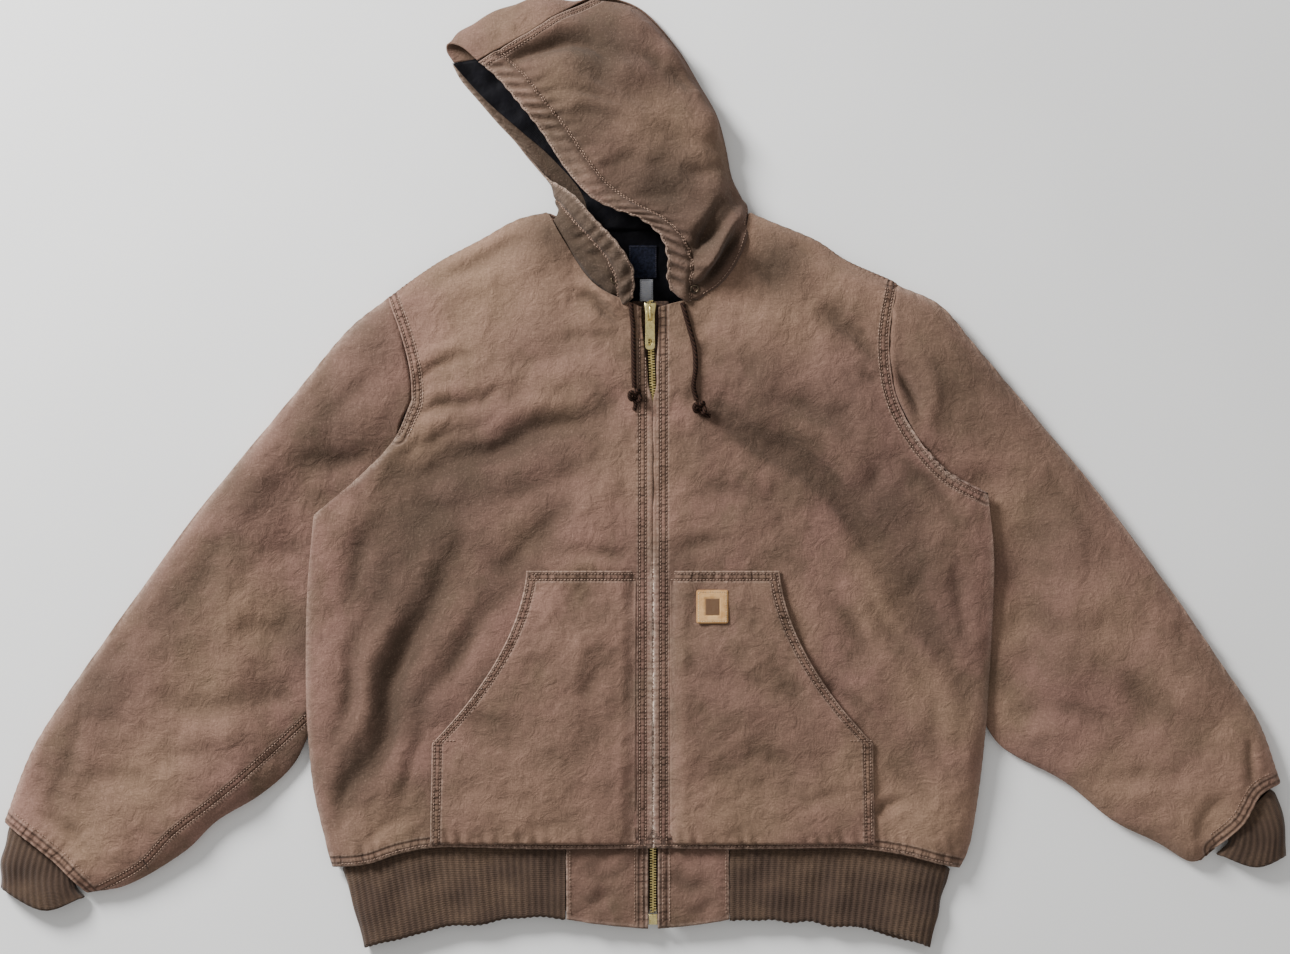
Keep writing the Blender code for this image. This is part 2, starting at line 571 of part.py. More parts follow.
def cord_tube(name, points, collection, look):
    """A drawcord, round in section, on a smooth curve through the points."""
    smooth = at(path(points)(np.linspace(0, 1, 14)))
    curve = bpy.data.curves.new(name, "CURVE")
    curve.dimensions = "3D"
    curve.bevel_depth = CORD * 0.0005
    curve.bevel_resolution = 2
    curve.use_fill_caps = True
    spline = curve.splines.new("POLY")
    spline.points.add(len(smooth) - 1)
    for point, place in zip(spline.points, smooth):
        point.co = (*place, 1.0)
    curve.materials.append(look)
    made = bpy.data.objects.new(name, curve)
    collection.objects.link(made)
    return made


def knot(name, centre, size, collection, look):
    """A cord's overhand knot, as one rounded lump."""
    mesh = bpy.data.meshes.new(name)
    ball = bmesh.new()
    bmesh.ops.create_uvsphere(ball, u_segments=12, v_segments=8, radius=1.0)
    bmesh.ops.scale(ball, vec=np.array(size) * 0.0005, verts=ball.verts)
    ball.to_mesh(mesh)
    ball.free()
    mesh.shade_smooth()
    made = keep(name, mesh, collection, look)
    made.location = at(centre)
    return made


def joined_mesh(pieces, name, collection, look):
    """One solid from overlapping blocks, by a Boolean union."""
    first = pieces[0]
    for other in pieces[1:]:
        union = first.modifiers.new("Join", "BOOLEAN")
        union.operation = "UNION"
        union.object = other
    bpy.context.view_layer.update()
    shape = bpy.data.meshes.new_from_object(first.evaluated_get(bpy.context.evaluated_depsgraph_get()))
    shape.transform(first.matrix_world)
    for piece in pieces:
        bpy.data.objects.remove(piece)
    return keep(name, shape, collection, look)


def zip_hardware(collection, brass, tape):
    """The zip: two tapes, the row of teeth, its slider with a bridge, the hinged pull and the end box."""
    half = TEETH_WIDTH / 2
    below = CANVAS + SEAM
    cloth("zip_tape_right", strip(-half - TAPE_WIDTH, -half - SEAM, ZIP_BOTTOM, ZIP_TOP - 2, 18, below),
          LINING, collection, tape)
    cloth("zip_tape_left", strip(half + SEAM, half + TAPE_WIDTH, ZIP_BOTTOM, ZIP_TOP - 2, 18, below),
          LINING, collection, tape)
    teeth = strip(-half, half, ZIP_BOTTOM, ZIP_TOP, 18, below - 0.2)
    cloth("zip_teeth", teeth, TEETH_THICK, collection, brass)

    x = CENTRE_X - 3.0 * float(ease(60, 170, SLIDER_Y))
    centre = np.array([[[CENTRE_X, SLIDER_Y]]])
    base = float(fullness(centre)[0, 0]) - CANVAS + 0.6
    wide, long, thick = SLIDER
    top = base + thick
    plate = box("slider_plate", (x - wide / 2, SLIDER_Y - long / 2, base),
                (x + wide / 2, SLIDER_Y + long / 2, top), collection, brass, 1.0)
    bridge = [box("post", (x - 1.5, SLIDER_Y + y - 1.2, top - 1), (x + 1.5, SLIDER_Y + y + 1.2, top + 4.6),
                  collection, brass) for y in (-5.2, 5.2)]
    bridge.append(box("arch", (x - 1.5, SLIDER_Y - 6.4, top + 3.4), (x + 1.5, SLIDER_Y + 6.4, top + 5.2),
                      collection, brass))
    joined_mesh([plate] + bridge, "zip_slider", collection, brass)

    # The pull lies down the front from its pivot, which passes under the bridge
    axis = np.array([x, SLIDER_Y, top + 1.7])
    arm = 8.6
    near = box("pivot", axis - (4.2, 0.8, 0.8), axis + (4.2, 0.8, 0.8), collection, brass)
    arms = [box("arm", axis + (side * 3.4 - 0.9, -arm - 1, -0.8), axis + (side * 3.4 + 0.9, 0.8, 0.8),
                collection, brass) for side in (-1, 1)]
    tab = box("tab", axis + (-PULL_WIDTH / 2, -PULL_LENGTH - arm, -PULL_THICK / 2),
              axis + (PULL_WIDTH / 2, -arm, PULL_THICK / 2), collection, brass)
    pull = joined_mesh([near] + arms + [tab], "zip_pull", collection, brass)
    hinge = bpy.data.objects.new("pull_hinge", None)
    hinge.location = at(axis)
    collection.objects.link(hinge)
    bpy.context.view_layer.update()
    pull.parent = hinge
    pull.matrix_parent_inverse = hinge.matrix_world.inverted()
    box("zip_end_box", (CENTRE_X - 4.4, -447, 10.8), (CENTRE_X + 4.4, ZIP_BOTTOM - SEAM, 15.0),
        collection, brass, 0.8)


def build():
    """Make every piece of the jacket."""
    for old in list(bpy.data.objects):
        bpy.data.objects.remove(old, do_unlink=True)
    jacket = bpy.data.collections.new("hooded canvas work jacket")
    bpy.context.scene.collection.children.link(jacket)
    canvas = material("brown canvas", BROWN, 0.92)
    rib = material("dark brown rib", RIB_BROWN, 0.95)
    dark = material("black lining", BLACK, 0.7)
    tape = material("zip tape", CORD_BROWN, 0.85)
    brass = material("brass", BRASS, 0.35, 1.0)
    leather = material("tan leather", TAN, 0.6)
    cord = material("dark drawcord", CORD_BROWN, 0.9)
    label = material("pale label", PALE, 0.8)
    navy = material("navy label", NAVY, 0.6)

    for side in ("right", "left"):
        turned = side == "right"
        cloth(f"front_{side}", front_points(side), CANVAS, jacket, canvas, flip=turned)
        cloth(f"sleeve_{side}", sleeve_points(side), CANVAS, jacket, canvas, closed=True, flip=turned)
        cloth(f"cuff_{side}", cuff_points(side), RIB, jacket, rib, closed=True, flip=turned)
        cloth(f"pocket_{side}", pocket_points(side), CANVAS - 0.4, jacket, canvas, flip=turned)
        cloth(f"waist_tab_{side}", tab_points(side), CANVAS, jacket, canvas, flip=not turned)
    cloth("back", back_points(), CANVAS, jacket, canvas, flip=True)
    cloth("waistband_rib", rib_points(), RIB, jacket, rib)
    cloth("hood_left", hood_left_points(), CANVAS, jacket, canvas)
    cloth("hood_right", hood_right_points(), CANVAS, jacket, canvas, flip=True)
    cloth("hood_centre", hood_centre_points(), CANVAS, jacket, canvas, flip=True)

    lip = [(-56, 253), (-64, 285), (-96, 322), (-126, 348), (-160, 378), (-186, 405)]
    inside = [(62, 255), (35, 285), (5, 318), (-35, 350), (-80, 382), (-130, 408)]
    lined = CANVAS + LAID + LINING
    cloth("hood_lining", flat_points(lip, inside, 10, lined + HOOD_LIFT), LINING, jacket, dark)
    cloth("neck_lining", flat_points([(-50, 150), (-58, 205), (-44, 251)], [(60, 150), (64, 205), (40, 251)],
                                     6, lined), LINING, jacket, dark)
    on_lining = lined + LAID
    box("brand_label", (-16, 199, on_lining), (12, 232, on_lining + 0.9), jacket, navy)
    box("size_label", (-5, 174, on_lining), (8, 198, on_lining + 0.9), jacket, label)

    patch_x, patch_y = np.meshgrid(np.linspace(50, 83, 3), np.linspace(-145, -111, 3))
    badge = np.dstack([patch_x, patch_y])
    cloth("leather_patch", on_front(badge, "left", CANVAS + 1.0 + 0.8 + LAID + LINING), LINING, jacket, leather)

    zip_hardware(jacket, brass, tape)
    for side, route, end in (("right", RIGHT_CORD, RIGHT_KNOT), ("left", LEFT_CORD, LEFT_KNOT)):
        plan = np.array([route])
        lifted = on_front(plan, side, CORD / 2 + 0.6)[0]
        cord_tube(f"drawcord_{side}", lifted, jacket, cord)
        place = on_front(np.array([[end]]), side, 5.4)[0, 0]
        knot(f"drawcord_knot_{side}", place, (11, 15, 9), jacket, cord)


build()
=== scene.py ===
"""The looks of the hooded canvas work jacket: washed canvas, rib knit, brass zip, cords, stitches and light.

The garment's own lengths are millimetres measured from the middle of the chest, X towards the wearer's left
and Y towards the hood. at() turns them into the frame's metres. RIGHT and LEFT are the wearer's.
"""

import math

import bmesh
import bpy
import numpy as np
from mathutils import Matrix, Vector


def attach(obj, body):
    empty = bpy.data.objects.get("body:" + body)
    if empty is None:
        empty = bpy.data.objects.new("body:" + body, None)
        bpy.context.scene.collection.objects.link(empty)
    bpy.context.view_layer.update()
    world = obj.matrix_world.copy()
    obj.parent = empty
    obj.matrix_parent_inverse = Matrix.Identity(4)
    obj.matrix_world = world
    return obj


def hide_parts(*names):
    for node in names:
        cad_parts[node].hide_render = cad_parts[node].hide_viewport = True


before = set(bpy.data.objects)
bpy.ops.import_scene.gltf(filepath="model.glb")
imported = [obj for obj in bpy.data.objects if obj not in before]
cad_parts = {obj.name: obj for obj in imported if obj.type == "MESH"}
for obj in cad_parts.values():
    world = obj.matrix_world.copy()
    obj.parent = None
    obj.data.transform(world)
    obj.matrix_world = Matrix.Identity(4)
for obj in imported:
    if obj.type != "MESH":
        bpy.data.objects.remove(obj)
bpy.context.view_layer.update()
frame_scene = bpy.context.scene

# Driving sizes, in millimetres
MIDDLE_X, MIDDLE_Y = -1.0, 6.0
CANVAS, RIB, LINING = 2.2, 2.4, 1.2
SHELL = 1.6  # how thick the canvas shows at its free edges
HOOD_LIFT, SEAM, LAID, EDGE_Z = 1.6, 0.5, 0.4, 6.0
BODY_HEIGHT, SLEEVE_HEIGHT, HEM_HEIGHT = 33.0, 26.0, 21.0
TOP_ROLL, UNDER_ROLL, SLEEVE_DIP = 46.0, 13.0, 12.0
CENTRE_X, FRONT_GAP, TUCK = 8.0, -0.1, 8.0
TAPE_WIDTH, TEETH_WIDTH, ZIP_TOP, ZIP_BOTTOM = 15.0, 6.5, 177.0, -436.0
TOOTH_PITCH = 2.6
SLIDER_X, SLIDER_Y, SLIDER_TOP, PIVOT_Z = 5.03, 163.0, 30.43, 32.13
CORD = 4.8
STITCH_PITCH, STITCH_LENGTH, STITCH_WIDTH, STITCH_LIFT = 3.4, 2.5, 0.85, 0.3
RIB_PITCH = 6.7
SEAM_IN, ROW_APART = 6.0, 2.9  # a seam's middle from its edge, and each stitch row from that middle
PLACKET = 10.4  # from the zip's centre to the middle of its two stitch rows
POCKET_BOTTOM, POCKET_TOP = -366.0, -93.0
CAMERA_HEIGHT, CAMERA_WIDTH, SENSOR = 3.0, 1.29, 36.0  # metres, metres seen across, millimetres
KEY_POWER, FILL_POWER, WORLD_STRENGTH = 188.0, 6.0, 0.465
CREASE = 1.25  # how much deeper every crease is than its stated depth
GATHER_PITCH = 14.0  # between the puckers that the drawcord makes
WANDER = 3.2  # how far creases stray from their smooth lines

SIGN = {"right": -1, "left": 1}  # of X on each side

# Outlines, seen from above
RIGHT_SHOULDER = [(-97, 265), (-129, 257), (-165, 237), (-203, 217), (-233, 197), (-257, 179)]
LEFT_SHOULDER = [(104, 265), (125, 256), (171, 237), (201, 217), (246, 197), (252, 192)]
RIGHT_TOP_EDGE = [(-257, 179), (-297, 147), (-347, 87), (-397, 27), (-446, -33), (-490, -93),
                  (-533, -153), (-575, -213), (-613, -273), (-641, -345)]
LEFT_TOP_EDGE = [(252, 192), (295, 172), (330, 132), (393, 57), (443, -3), (489, -63),
                 (533, -123), (574, -183), (613, -243), (636, -306)]
RIGHT_LOWER_EDGE = [(-333, -250), (-352, -288), (-385, -318), (-428, -344), (-461, -375),
                    (-515, -407), (-558, -416)]
LEFT_LOWER_EDGE = [(337, -242), (352, -265), (372, -280), (420, -305), (467, -343),
                   (513, -366), (547, -385), (568, -372)]
RIGHT_CUFF_EDGE = [(-641, -345), (-615, -363), (-587, -386), (-558, -416)]
LEFT_CUFF_EDGE = [(636, -306), (614, -318), (597, -346), (568, -372)]
RIGHT_ARMHOLE = [(-257, 179), (-243, 142), (-234, 107), (-232, 77)]
RIGHT_FOLD = [(-232, 77), (-250, 37), (-285, 0), (-330, -38)]
RIGHT_SIDE = [(-330, -38), (-337, -123), (-338, -223), (-333, -303), (-320, -363), (-313, -390)]
LEFT_ARMHOLE = [(252, 192), (245, 157), (243, 127), (248, 87), (260, 57)]
LEFT_FOLD = [(260, 57), (280, 27), (305, 2), (342, -18)]
LEFT_SIDE = [(342, -18), (348, -93), (342, -223), (337, -290), (326, -363), (315, -391)]
RIGHT_SLEEVE_END = [(-257, 179), (-244, 142), (-235, 107), (-234, 77), (-244, 55), (-248, 30),
                    (-264, -15), (-290, -60), (-318, -108), (-328, -180), (-333, -250)]
LEFT_SLEEVE_END = [(252, 192), (246, 157), (244, 127), (249, 87), (262, 57), (280, 22),
                   (296, -15), (306, -60), (318, -108), (331, -180), (337, -242)]
RIGHT_BACK_ARMHOLE = [(-257, 179), (-247, 120), (-246, 60), (-260, 0), (-288, -55),
                      (-318, -108), (-328, -180), (-333, -250)]
LEFT_BACK_ARMHOLE = [(252, 192), (245, 125), (246, 60), (262, 0), (288, -55),
                     (318, -108), (331, -180), (337, -242)]
RIGHT_HEM = [(CENTRE_X, -370), (-103, -371), (-200, -369), (-243, -375), (-277, -386), (-313, -390)]
LEFT_HEM = [(CENTRE_X, -370), (100, -371), (200, -370), (254, -376), (293, -386), (315, -391)]
RIGHT_NECK = [(-14, 169), (-50, 192), (-81, 236), (-97, 265)]
LEFT_NECK = [(24, 168), (71, 189), (97, 236), (104, 265)]
BACK_NECK = [(-97, 265), (-60, 252), (0, 246), (60, 252), (104, 265)]

RIGHT_CORD = [(-14, 172), (-13, 160), (-12, 150), (-11.5, 120), (-11, 98), (-10.5, 88.5)]
LEFT_CORD = [(37, 173), (40, 162), (44, 148), (49, 128), (50, 108), (48, 90), (51, 76.5)]
RIGHT_KNOT, LEFT_KNOT = (-10, 80.4), (54, 68.5)

# The zip pull's outline and the openings in it, from its hinge
PULL_OUTLINE = [(-3.6, 1.2), (0, 1.6), (3.6, 1.2), (4.3, -2), (4.3, -9), (4.4, -20), (4.5, -32), (3.6, -35.6),
                (0, -36.4), (-3.6, -35.6), (-4.5, -32), (-4.4, -20), (-4.3, -9), (-4.3, -2)]
PULL_SLOT = [(-2.2, -0.9), (0, -0.8), (2.2, -0.9), (2.4, -4), (2.2, -8.2), (0, -8.7), (-2.2, -8.2),
             (-2.4, -4)]
PULL_HOLE = [(-2.3, -29), (-1.2, -32.2), (0, -32.6), (1.2, -32.2), (2.3, -29), (1.6, -26.4), (0, -25.8),
             (-1.6, -26.4)]

# Creases: (line, half width, depth, side its ridge rises on, 1 left of the line or -1 right or 0 both).
# A negative depth is a ridge.
RIGHT_CREASES = [
    ([(-240, 0), (-211, 8), (-184, 16), (-161, 20), (-138, 30), (-104, 45), (-70, 57), (-28, 75)],
     15, 6.5, 1),
    ([(-100, 235), (-138, 234), (-161, 220), (-184, 208), (-210, 196)], 12, 4.2, -1),
    ([(-14, 156), (-37, 166), (-56, 174), (-74, 175)], 6, 4.4, -1),
    ([(-19, 148), (-40, 139), (-70, 137), (-100, 132)], 8, 1.8, -1),
    ([(-40, 130), (-68, 124), (-92, 121), (-125, 112)], 10, 1.8, 1),
    ([(-226, 59), (-196, 70), (-165, 81), (-140, 92)], 7, 3.0, 1),
    ([(-223, 90), (-207, 105), (-189, 114), (-168, 120)], 7, 2.4, 1),
    ([(-245, 30), (-212, 34), (-180, 46), (-150, 62)], 9, 2.6, 1),
    ([(-232, -18), (-210, -30), (-184, -36)], 13, 2.6, 1),
    ([(-58, -17), (-92, -44), (-115, -63), (-134, -84), (-166, -98)], 12, 3.0, -1),
    ([(-120, -96), (-145, -118), (-166, -141), (-182, -163), (-196, -193), (-229, -241)], 12, 3.2, -1),
    ([(-188, -82), (-202, -103), (-219, -135), (-238, -164), (-248, -202), (-255, -246), (-272, -280),
      (-297, -319), (-311, -348)], 13, 7.5, -1),
    ([(-216, -225), (-226, -258), (-239, -290), (-248, -332)], 8, 2.4, -1),
    ([(-268, -120), (-284, -170), (-296, -228), (-312, -290)], 12, 2.6, 1),
    ([(-255, -40), (-281, -80), (-300, -130)], 14, 2.8, 1),
    ([(-30, 20), (-80, -4), (-130, -12), (-178, -22)], 14, 2.0, 1),
    ([(-60, 100), (-110, 82), (-150, 78)], 11, 1.6, 1),
    ([(-12, -84), (-40, -74), (-80, -72)], 8, 2.2, 1),
    ([(-18, 172), (-38, 178), (-58, 188)], 6, -2.6, 0),
    ([(-14, -92), (-15, -112), (-13, -136)], 7, 2.0, 0),
    ([(-230, -330), (-255, -348), (-284, -366)], 8, 2.0, 1),
]
LEFT_CREASES = [
    ([(50, 76), (66, 67), (97, 50), (127, 32), (160, 10), (184, -11), (203, -35), (221, -65)], 16, 6.6, 1),
    ([(205, -30), (220, -60), (236, -88), (261, -115), (281, -159), (298, -198), (312, -240)], 18, 4.2, 1),
    ([(168, -52), (200, -92), (232, -127), (256, -165), (274, -205), (288, -250), (302, -300)], 9, 2.6, 1),
    ([(170, -104), (188, -127), (206, -148), (226, -182)], 9, 2.4, 1),
    ([(172, -212), (206, -224), (232, -236)], 8, 2.6, 1),
    ([(252, -285), (266, -303), (286, -330)], 10, 2.6, 1),
    ([(226, -342), (244, -325), (262, -318)], 6, 3.0, 1),
    ([(104, 218), (127, 199), (160, 188)], 12, 4.0, 1),
    ([(170, 187), (191, 154), (212, 136), (235, 110)], 12, 4.4, 1),
    ([(208, 104), (222, 95), (238, 87)], 7, 2.0, 1),
    ([(100, 76), (140, 70), (190, 64)], 12, 1.6, 1),
    ([(40, 140), (70, 118), (108, 104)], 10, 1.6, 1),
    ([(36, 10), (80, -8), (120, -30), (150, -62)], 14, 2.2, 1),
    ([(262, 28), (276, 2), (296, -24), (322, -48)], 10, 2.6, -1),
    ([(306, -70), (316, -130), (320, -190)], 12, 2.4, 1),
    ([(240, 20), (224, -6), (200, -20)], 10, 2.0, -1),
    ([(30, 50), (60, 30), (90, 14)], 12, 1.6, 1),
    ([(24, -96), (25, -116), (23, -140)], 7, 2.0, 0),
    ([(28, -78), (60, -66), (96, -70)], 8, 1.8, -1),
]
RIGHT_SLEEVE_CREASES = [
    ([(-252, 30), (-276, 20), (-310, 18), (-350, 26)], 13, 4.0, 1),
    ([(-262, 110), (-290, 84), (-330, 62)], 12, 2.4, 1),
    ([(-300, -60), (-340, -72), (-392, -66)], 16, 3.0, 1),
    ([(-330, -160), (-372, -150), (-420, -158)], 16, 2.6, 1),
    ([(-345, -230), (-400, -218), (-452, -232), (-492, -216)], 15, 3.0, 1),
    ([(-420, -60), (-452, -112), (-496, -160)], 14, 2.0, -1),
    ([(-380, -290), (-430, -274), (-486, -282)], 12, 2.4, 1),
    ([(-470, -330), (-520, -300), (-566, -300)], 12, 2.6, 1),
    ([(-540, -388), (-566, -356), (-606, -330)], 8, 2.4, 1),
    ([(-560, -240), (-580, -280), (-600, -330)], 10, 2.0, 1),
]
LEFT_SLEEVE_CREASES = [
    ([(268, 130), (282, 104), (286, 78), (280, 50)], 8, -3.0, 0),
    ([(255, 108), (262, 90), (267, 76), (268, 60)], 5, 6.0, 0),
    ([(264, 42), (274, 32), (290, 26), (306, 24)], 5, 6.0, 1),
    ([(300, 4), (332, -6), (366, 0)], 10, 2.6, 1),
    ([(345, -60), (380, -52), (420, -64)], 15, 2.6, -1),
    ([(348, -150), (392, -138), (446, -152), (490, -148)], 16, 3.0, -1),
    ([(400, 20), (428, -30), (470, -80)], 14, 2.0, 1),
    ([(360, -240), (410, -226), (460, -246)], 14, 2.8, -1),
    ([(480, -190), (520, -236), (560, -250)], 14, 2.4, 1),
    ([(440, -310), (490, -290), (540, -300)], 12, 2.4, -1),
    ([(604, -262), (608, -290), (611, -314)], 7, 2.6, 1),
    ([(548, -372), (566, -340), (586, -322)], 8, 2.4, -1),
]
UNDER_CREASES = [
    ([(-220, 120), (-120, 70), (0, 60), (110, 84), (210, 130)], 16, 3.2, 1),
    ([(-230, -40), (-140, -80), (-40, -86), (80, -70), (220, -20)], 18, 3.4, 1),
    ([(-300, -180), (-200, -210), (-60, -196)], 16, 2.8, -1),
    ([(40, -210), (150, -190), (300, -230)], 16, 2.8, 1),
    ([(-260, -330), (-140, -300), (0, -312), (160, -296), (270, -340)], 14, 2.6, 1),
    ([(-400, -20), (-440, -120), (-520, -220)], 16, 2.6, 1),
    ([(400, 10), (450, -100), (530, -200)], 16, 2.6, -1),
    ([(-360, -180), (-440, -190), (-500, -240)], 14, 2.4, 1),
    ([(360, -170), (430, -180), (500, -250)], 14, 2.4, 1),
]
HOOD_CREASES = [
    ([(-138, 408), (-112, 422), (-81, 430), (-52, 430), (-30, 420)], 8, 5.6, 1),
    ([(-80, 356), (-52, 352), (-26, 348)], 9, 2.2, 1),
    ([(-44, 310), (-21, 316), (0, 328)], 9, 2.2, 1),
    ([(20, 402), (34, 392), (58, 378)], 14, 2.6, -1),
    ([(-12, 284), (14, 280), (44, 279)], 11, 2.4, 1),
    ([(95, 272), (82, 254), (66, 241), (46, 236)], 8, 4.6, -1),
    ([(58, 206), (70, 226), (84, 244), (96, 262)], 7, -4.0, 0),
    ([(66, 196), (82, 222), (96, 244)], 6, 5.0, 1),
    ([(44, 214), (56, 236), (70, 258), (84, 276)], 7, 4.6, -1),
    ([(52, 186), (64, 196), (78, 210)], 5, 3.4, 1),
    ([(-96, 388), (-60, 376), (-24, 372)], 8, 2.6, 1),
    ([(-30, 432), (0, 420), (22, 402)], 8, 2.4, -1),
    ([(-60, 396), (-20, 388), (20, 360)], 12, 1.8, 1),
    ([(0, 356), (30, 340), (62, 336)], 12, 1.8, -1),
    ([(30, 306), (58, 300), (80, 306)], 10, 2.0, -1),
    ([(48, 198), (64, 204), (84, 216)], 6, 2.0, 1),
]
COLLAR_CREASES = [
    ([(-30, 214), (-46, 214), (-60, 218)], 5, 1.6, 1),
    ([(-50, 240), (-66, 236), (-78, 238)], 5, 1.6, 1),
    ([(-100, 330), (-60, 320), (-10, 312)], 12, 2.0, 1),
    ([(-140, 380), (-90, 372), (-40, 372)], 12, 2.0, 1),
]

# The hood's panels: each row runs from the face opening back to its far seam
HOOD_LEFT = [
    [(25, 184, 33), (33, 178, 35), (43, 174, 31)],
    [(22, 198, 39), (45, 195, 41), (70, 191, 32)],
    [(23, 215, 43), (52, 212, 43), (87, 212, 32)],
    [(16, 238, 45), (55, 232, 44), (98, 238, 30)],
    [(-5, 256, 46), (45, 256, 43), (88, 262, 30), (103, 268, 8)],
    [(-30, 265, 46), (25, 274, 43), (78, 276, 32), (96, 280, 8.6)],
    [(-55, 278, 44), (5, 298, 42), (70, 298, 30), (86, 300, 8.6)],
    [(-80, 307, 42), (-15, 326, 42), (65, 328, 29), (80, 330, 8.6)],
    [(-103, 343, 38), (-35, 355, 42), (56, 360, 29), (71, 362, 8.6)],
    [(-124, 370, 34), (-60, 382, 40), (38, 390, 28), (54, 392, 8.6)],
    [(-144, 394, 30), (-85, 408, 36), (12, 426, 26), (30, 430, 8.6)],
    [(-158, 407, 27), (-110, 425, 31), (-22, 458, 20), (-8, 468, 8.6)],
    [(-166, 413, 25), (-128, 435, 27), (-90, 458, 20), (-52, 478, 9)],
]
HOOD_RIGHT = [
    [(-12, 178, 33), (-15, 175, 33), (-19, 173, 30.5)],
    [(-12, 205, 41), (-28, 198, 38), (-46, 192, 29)],
    [(-26, 230, 44), (-45, 222, 38), (-63, 213, 28)],
    [(-47, 252, 43), (-65, 244, 36), (-80, 235, 25)],
    [(-68, 277, 37), (-82, 265, 28), (-91, 257, 16)],
    [(-85, 290, 24), (-92, 278, 12), (-84, 268, 2.4), (-74, 262, 1.4)],
    [(-99, 299, 9), (-88, 285, 2), (-66, 270, 1.3), (-45, 256, 0.8)],
    [(-116, 318, 1.6), (-80, 296, 0.8), (-30, 270, 0), (0, 253, 0)],
    [(-131, 337, 0), (-75, 315, 0), (-10, 290, 0), (42, 268, 0)],
    [(-148, 355, 0), (-80, 340, 0), (-10, 325, 0), (40, 312, 0)],
    [(-167, 377, 0), (-100, 370, 0), (-30, 360, 0), (24, 352, 0)],
    [(-184, 397, 0), (-120, 395, 0), (-50, 395, 0), (2, 388, 0)],
    [(-193, 413, 0), (-150, 415, 0), (-90, 422, 0), (-40, 428, 0)],
]
HOOD_CENTRE = [
    [(-167, 415, 24), (-183, 429, 18), (-197, 434, 8), (-199, 427, 1), (-192, 415.5, 0)],
    [(-147, 426, 25.5), (-165, 440, 20), (-182, 448, 8), (-180, 441, 0.6), (-164, 419, 0)],
    [(-116, 443, 23), (-132, 458, 17), (-147, 468, 7), (-143, 461, 0.9), (-118, 425, 0)],
    [(-86, 462, 17), (-97, 474, 13), (-105, 481, 6), (-101, 472, 0.9), (-80, 430, 0)],
    [(-50, 480, 6.0), (-49, 481, 4.8), (-48, 480, 3), (-46, 474, 0.7), (-38, 431, 0)],
    [(-6, 470, 5.4), (-7, 470, 4.2), (-8, 468, 2.4), (-12, 461, 0.6), (-16, 415, 0)],
    [(31, 431, 5.4), (30, 431, 4.2), (28, 429, 2.4), (22, 425, 0.2), (4, 390, 0)],
    [(55, 392, 5.4), (54, 392, 4.2), (51, 391, 2.4), (45, 388, 0.2), (26, 352, 0)],
    [(72, 362, 5.4), (71, 362, 4.2), (68, 361, 2.4), (62, 358, 0.2), (35, 334, 0)],
    [(81, 330, 5.4), (80, 330, 4.2), (77, 329, 2.4), (70, 327, 0.2), (44, 311, 0)],
    [(87, 300, 5.4), (86, 300, 4.2), (83, 299, 2.4), (75, 297, 0.2), (47, 289, 0)],
    [(97, 279, 5.4), (96, 279, 4.2), (92, 278, 2.4), (82, 276, 0.2), (47, 266, 0)],
]

POCKET_CREASES = [
    ([(-38, -168), (-50, -190), (-68, -222)], 12, 1.8, 1),
    ([(-180, -242), (-152, -248), (-122, -252)], 10, 1.8, 1),
    ([(-114, -176), (-100, -184), (-84, -190)], 9, 1.4, 1),
    ([(-200, -300), (-150, -318), (-96, -320)], 14, 1.6, -1),
    ([(-60, -330), (-84, -345), (-120, -352)], 9, 1.4, 1),
    ([(40, -172), (66, -196), (104, -206)], 13, 1.8, 1),
    ([(120, -190), (146, -216), (158, -244)], 10, 1.6, 1),
    ([(60, -290), (110, -280), (168, -292)], 14, 1.6, 1),
    ([(150, -330), (186, -318), (216, -322)], 10, 1.6, -1),
    ([(40, -240), (80, -252), (120, -248)], 14, 1.4, 1),
]
TAB_CREASES = [
    ([(-70, -392), (-46, -400), (-20, -398)], 8, 2.0, 1),
    ([(-60, -430), (-40, -420), (-16, -424)], 7, 1.6, 1),
    ([(22, -396), (40, -410), (72, -412)], 8, 2.0, 1),
    ([(26, -432), (50, -436), (76, -430)], 6, 1.4, 1),
]
FELLED = [(-322, -226), (-389, -288), (-428, -321), (-472, -355), (-504, -388), (-547, -412)]
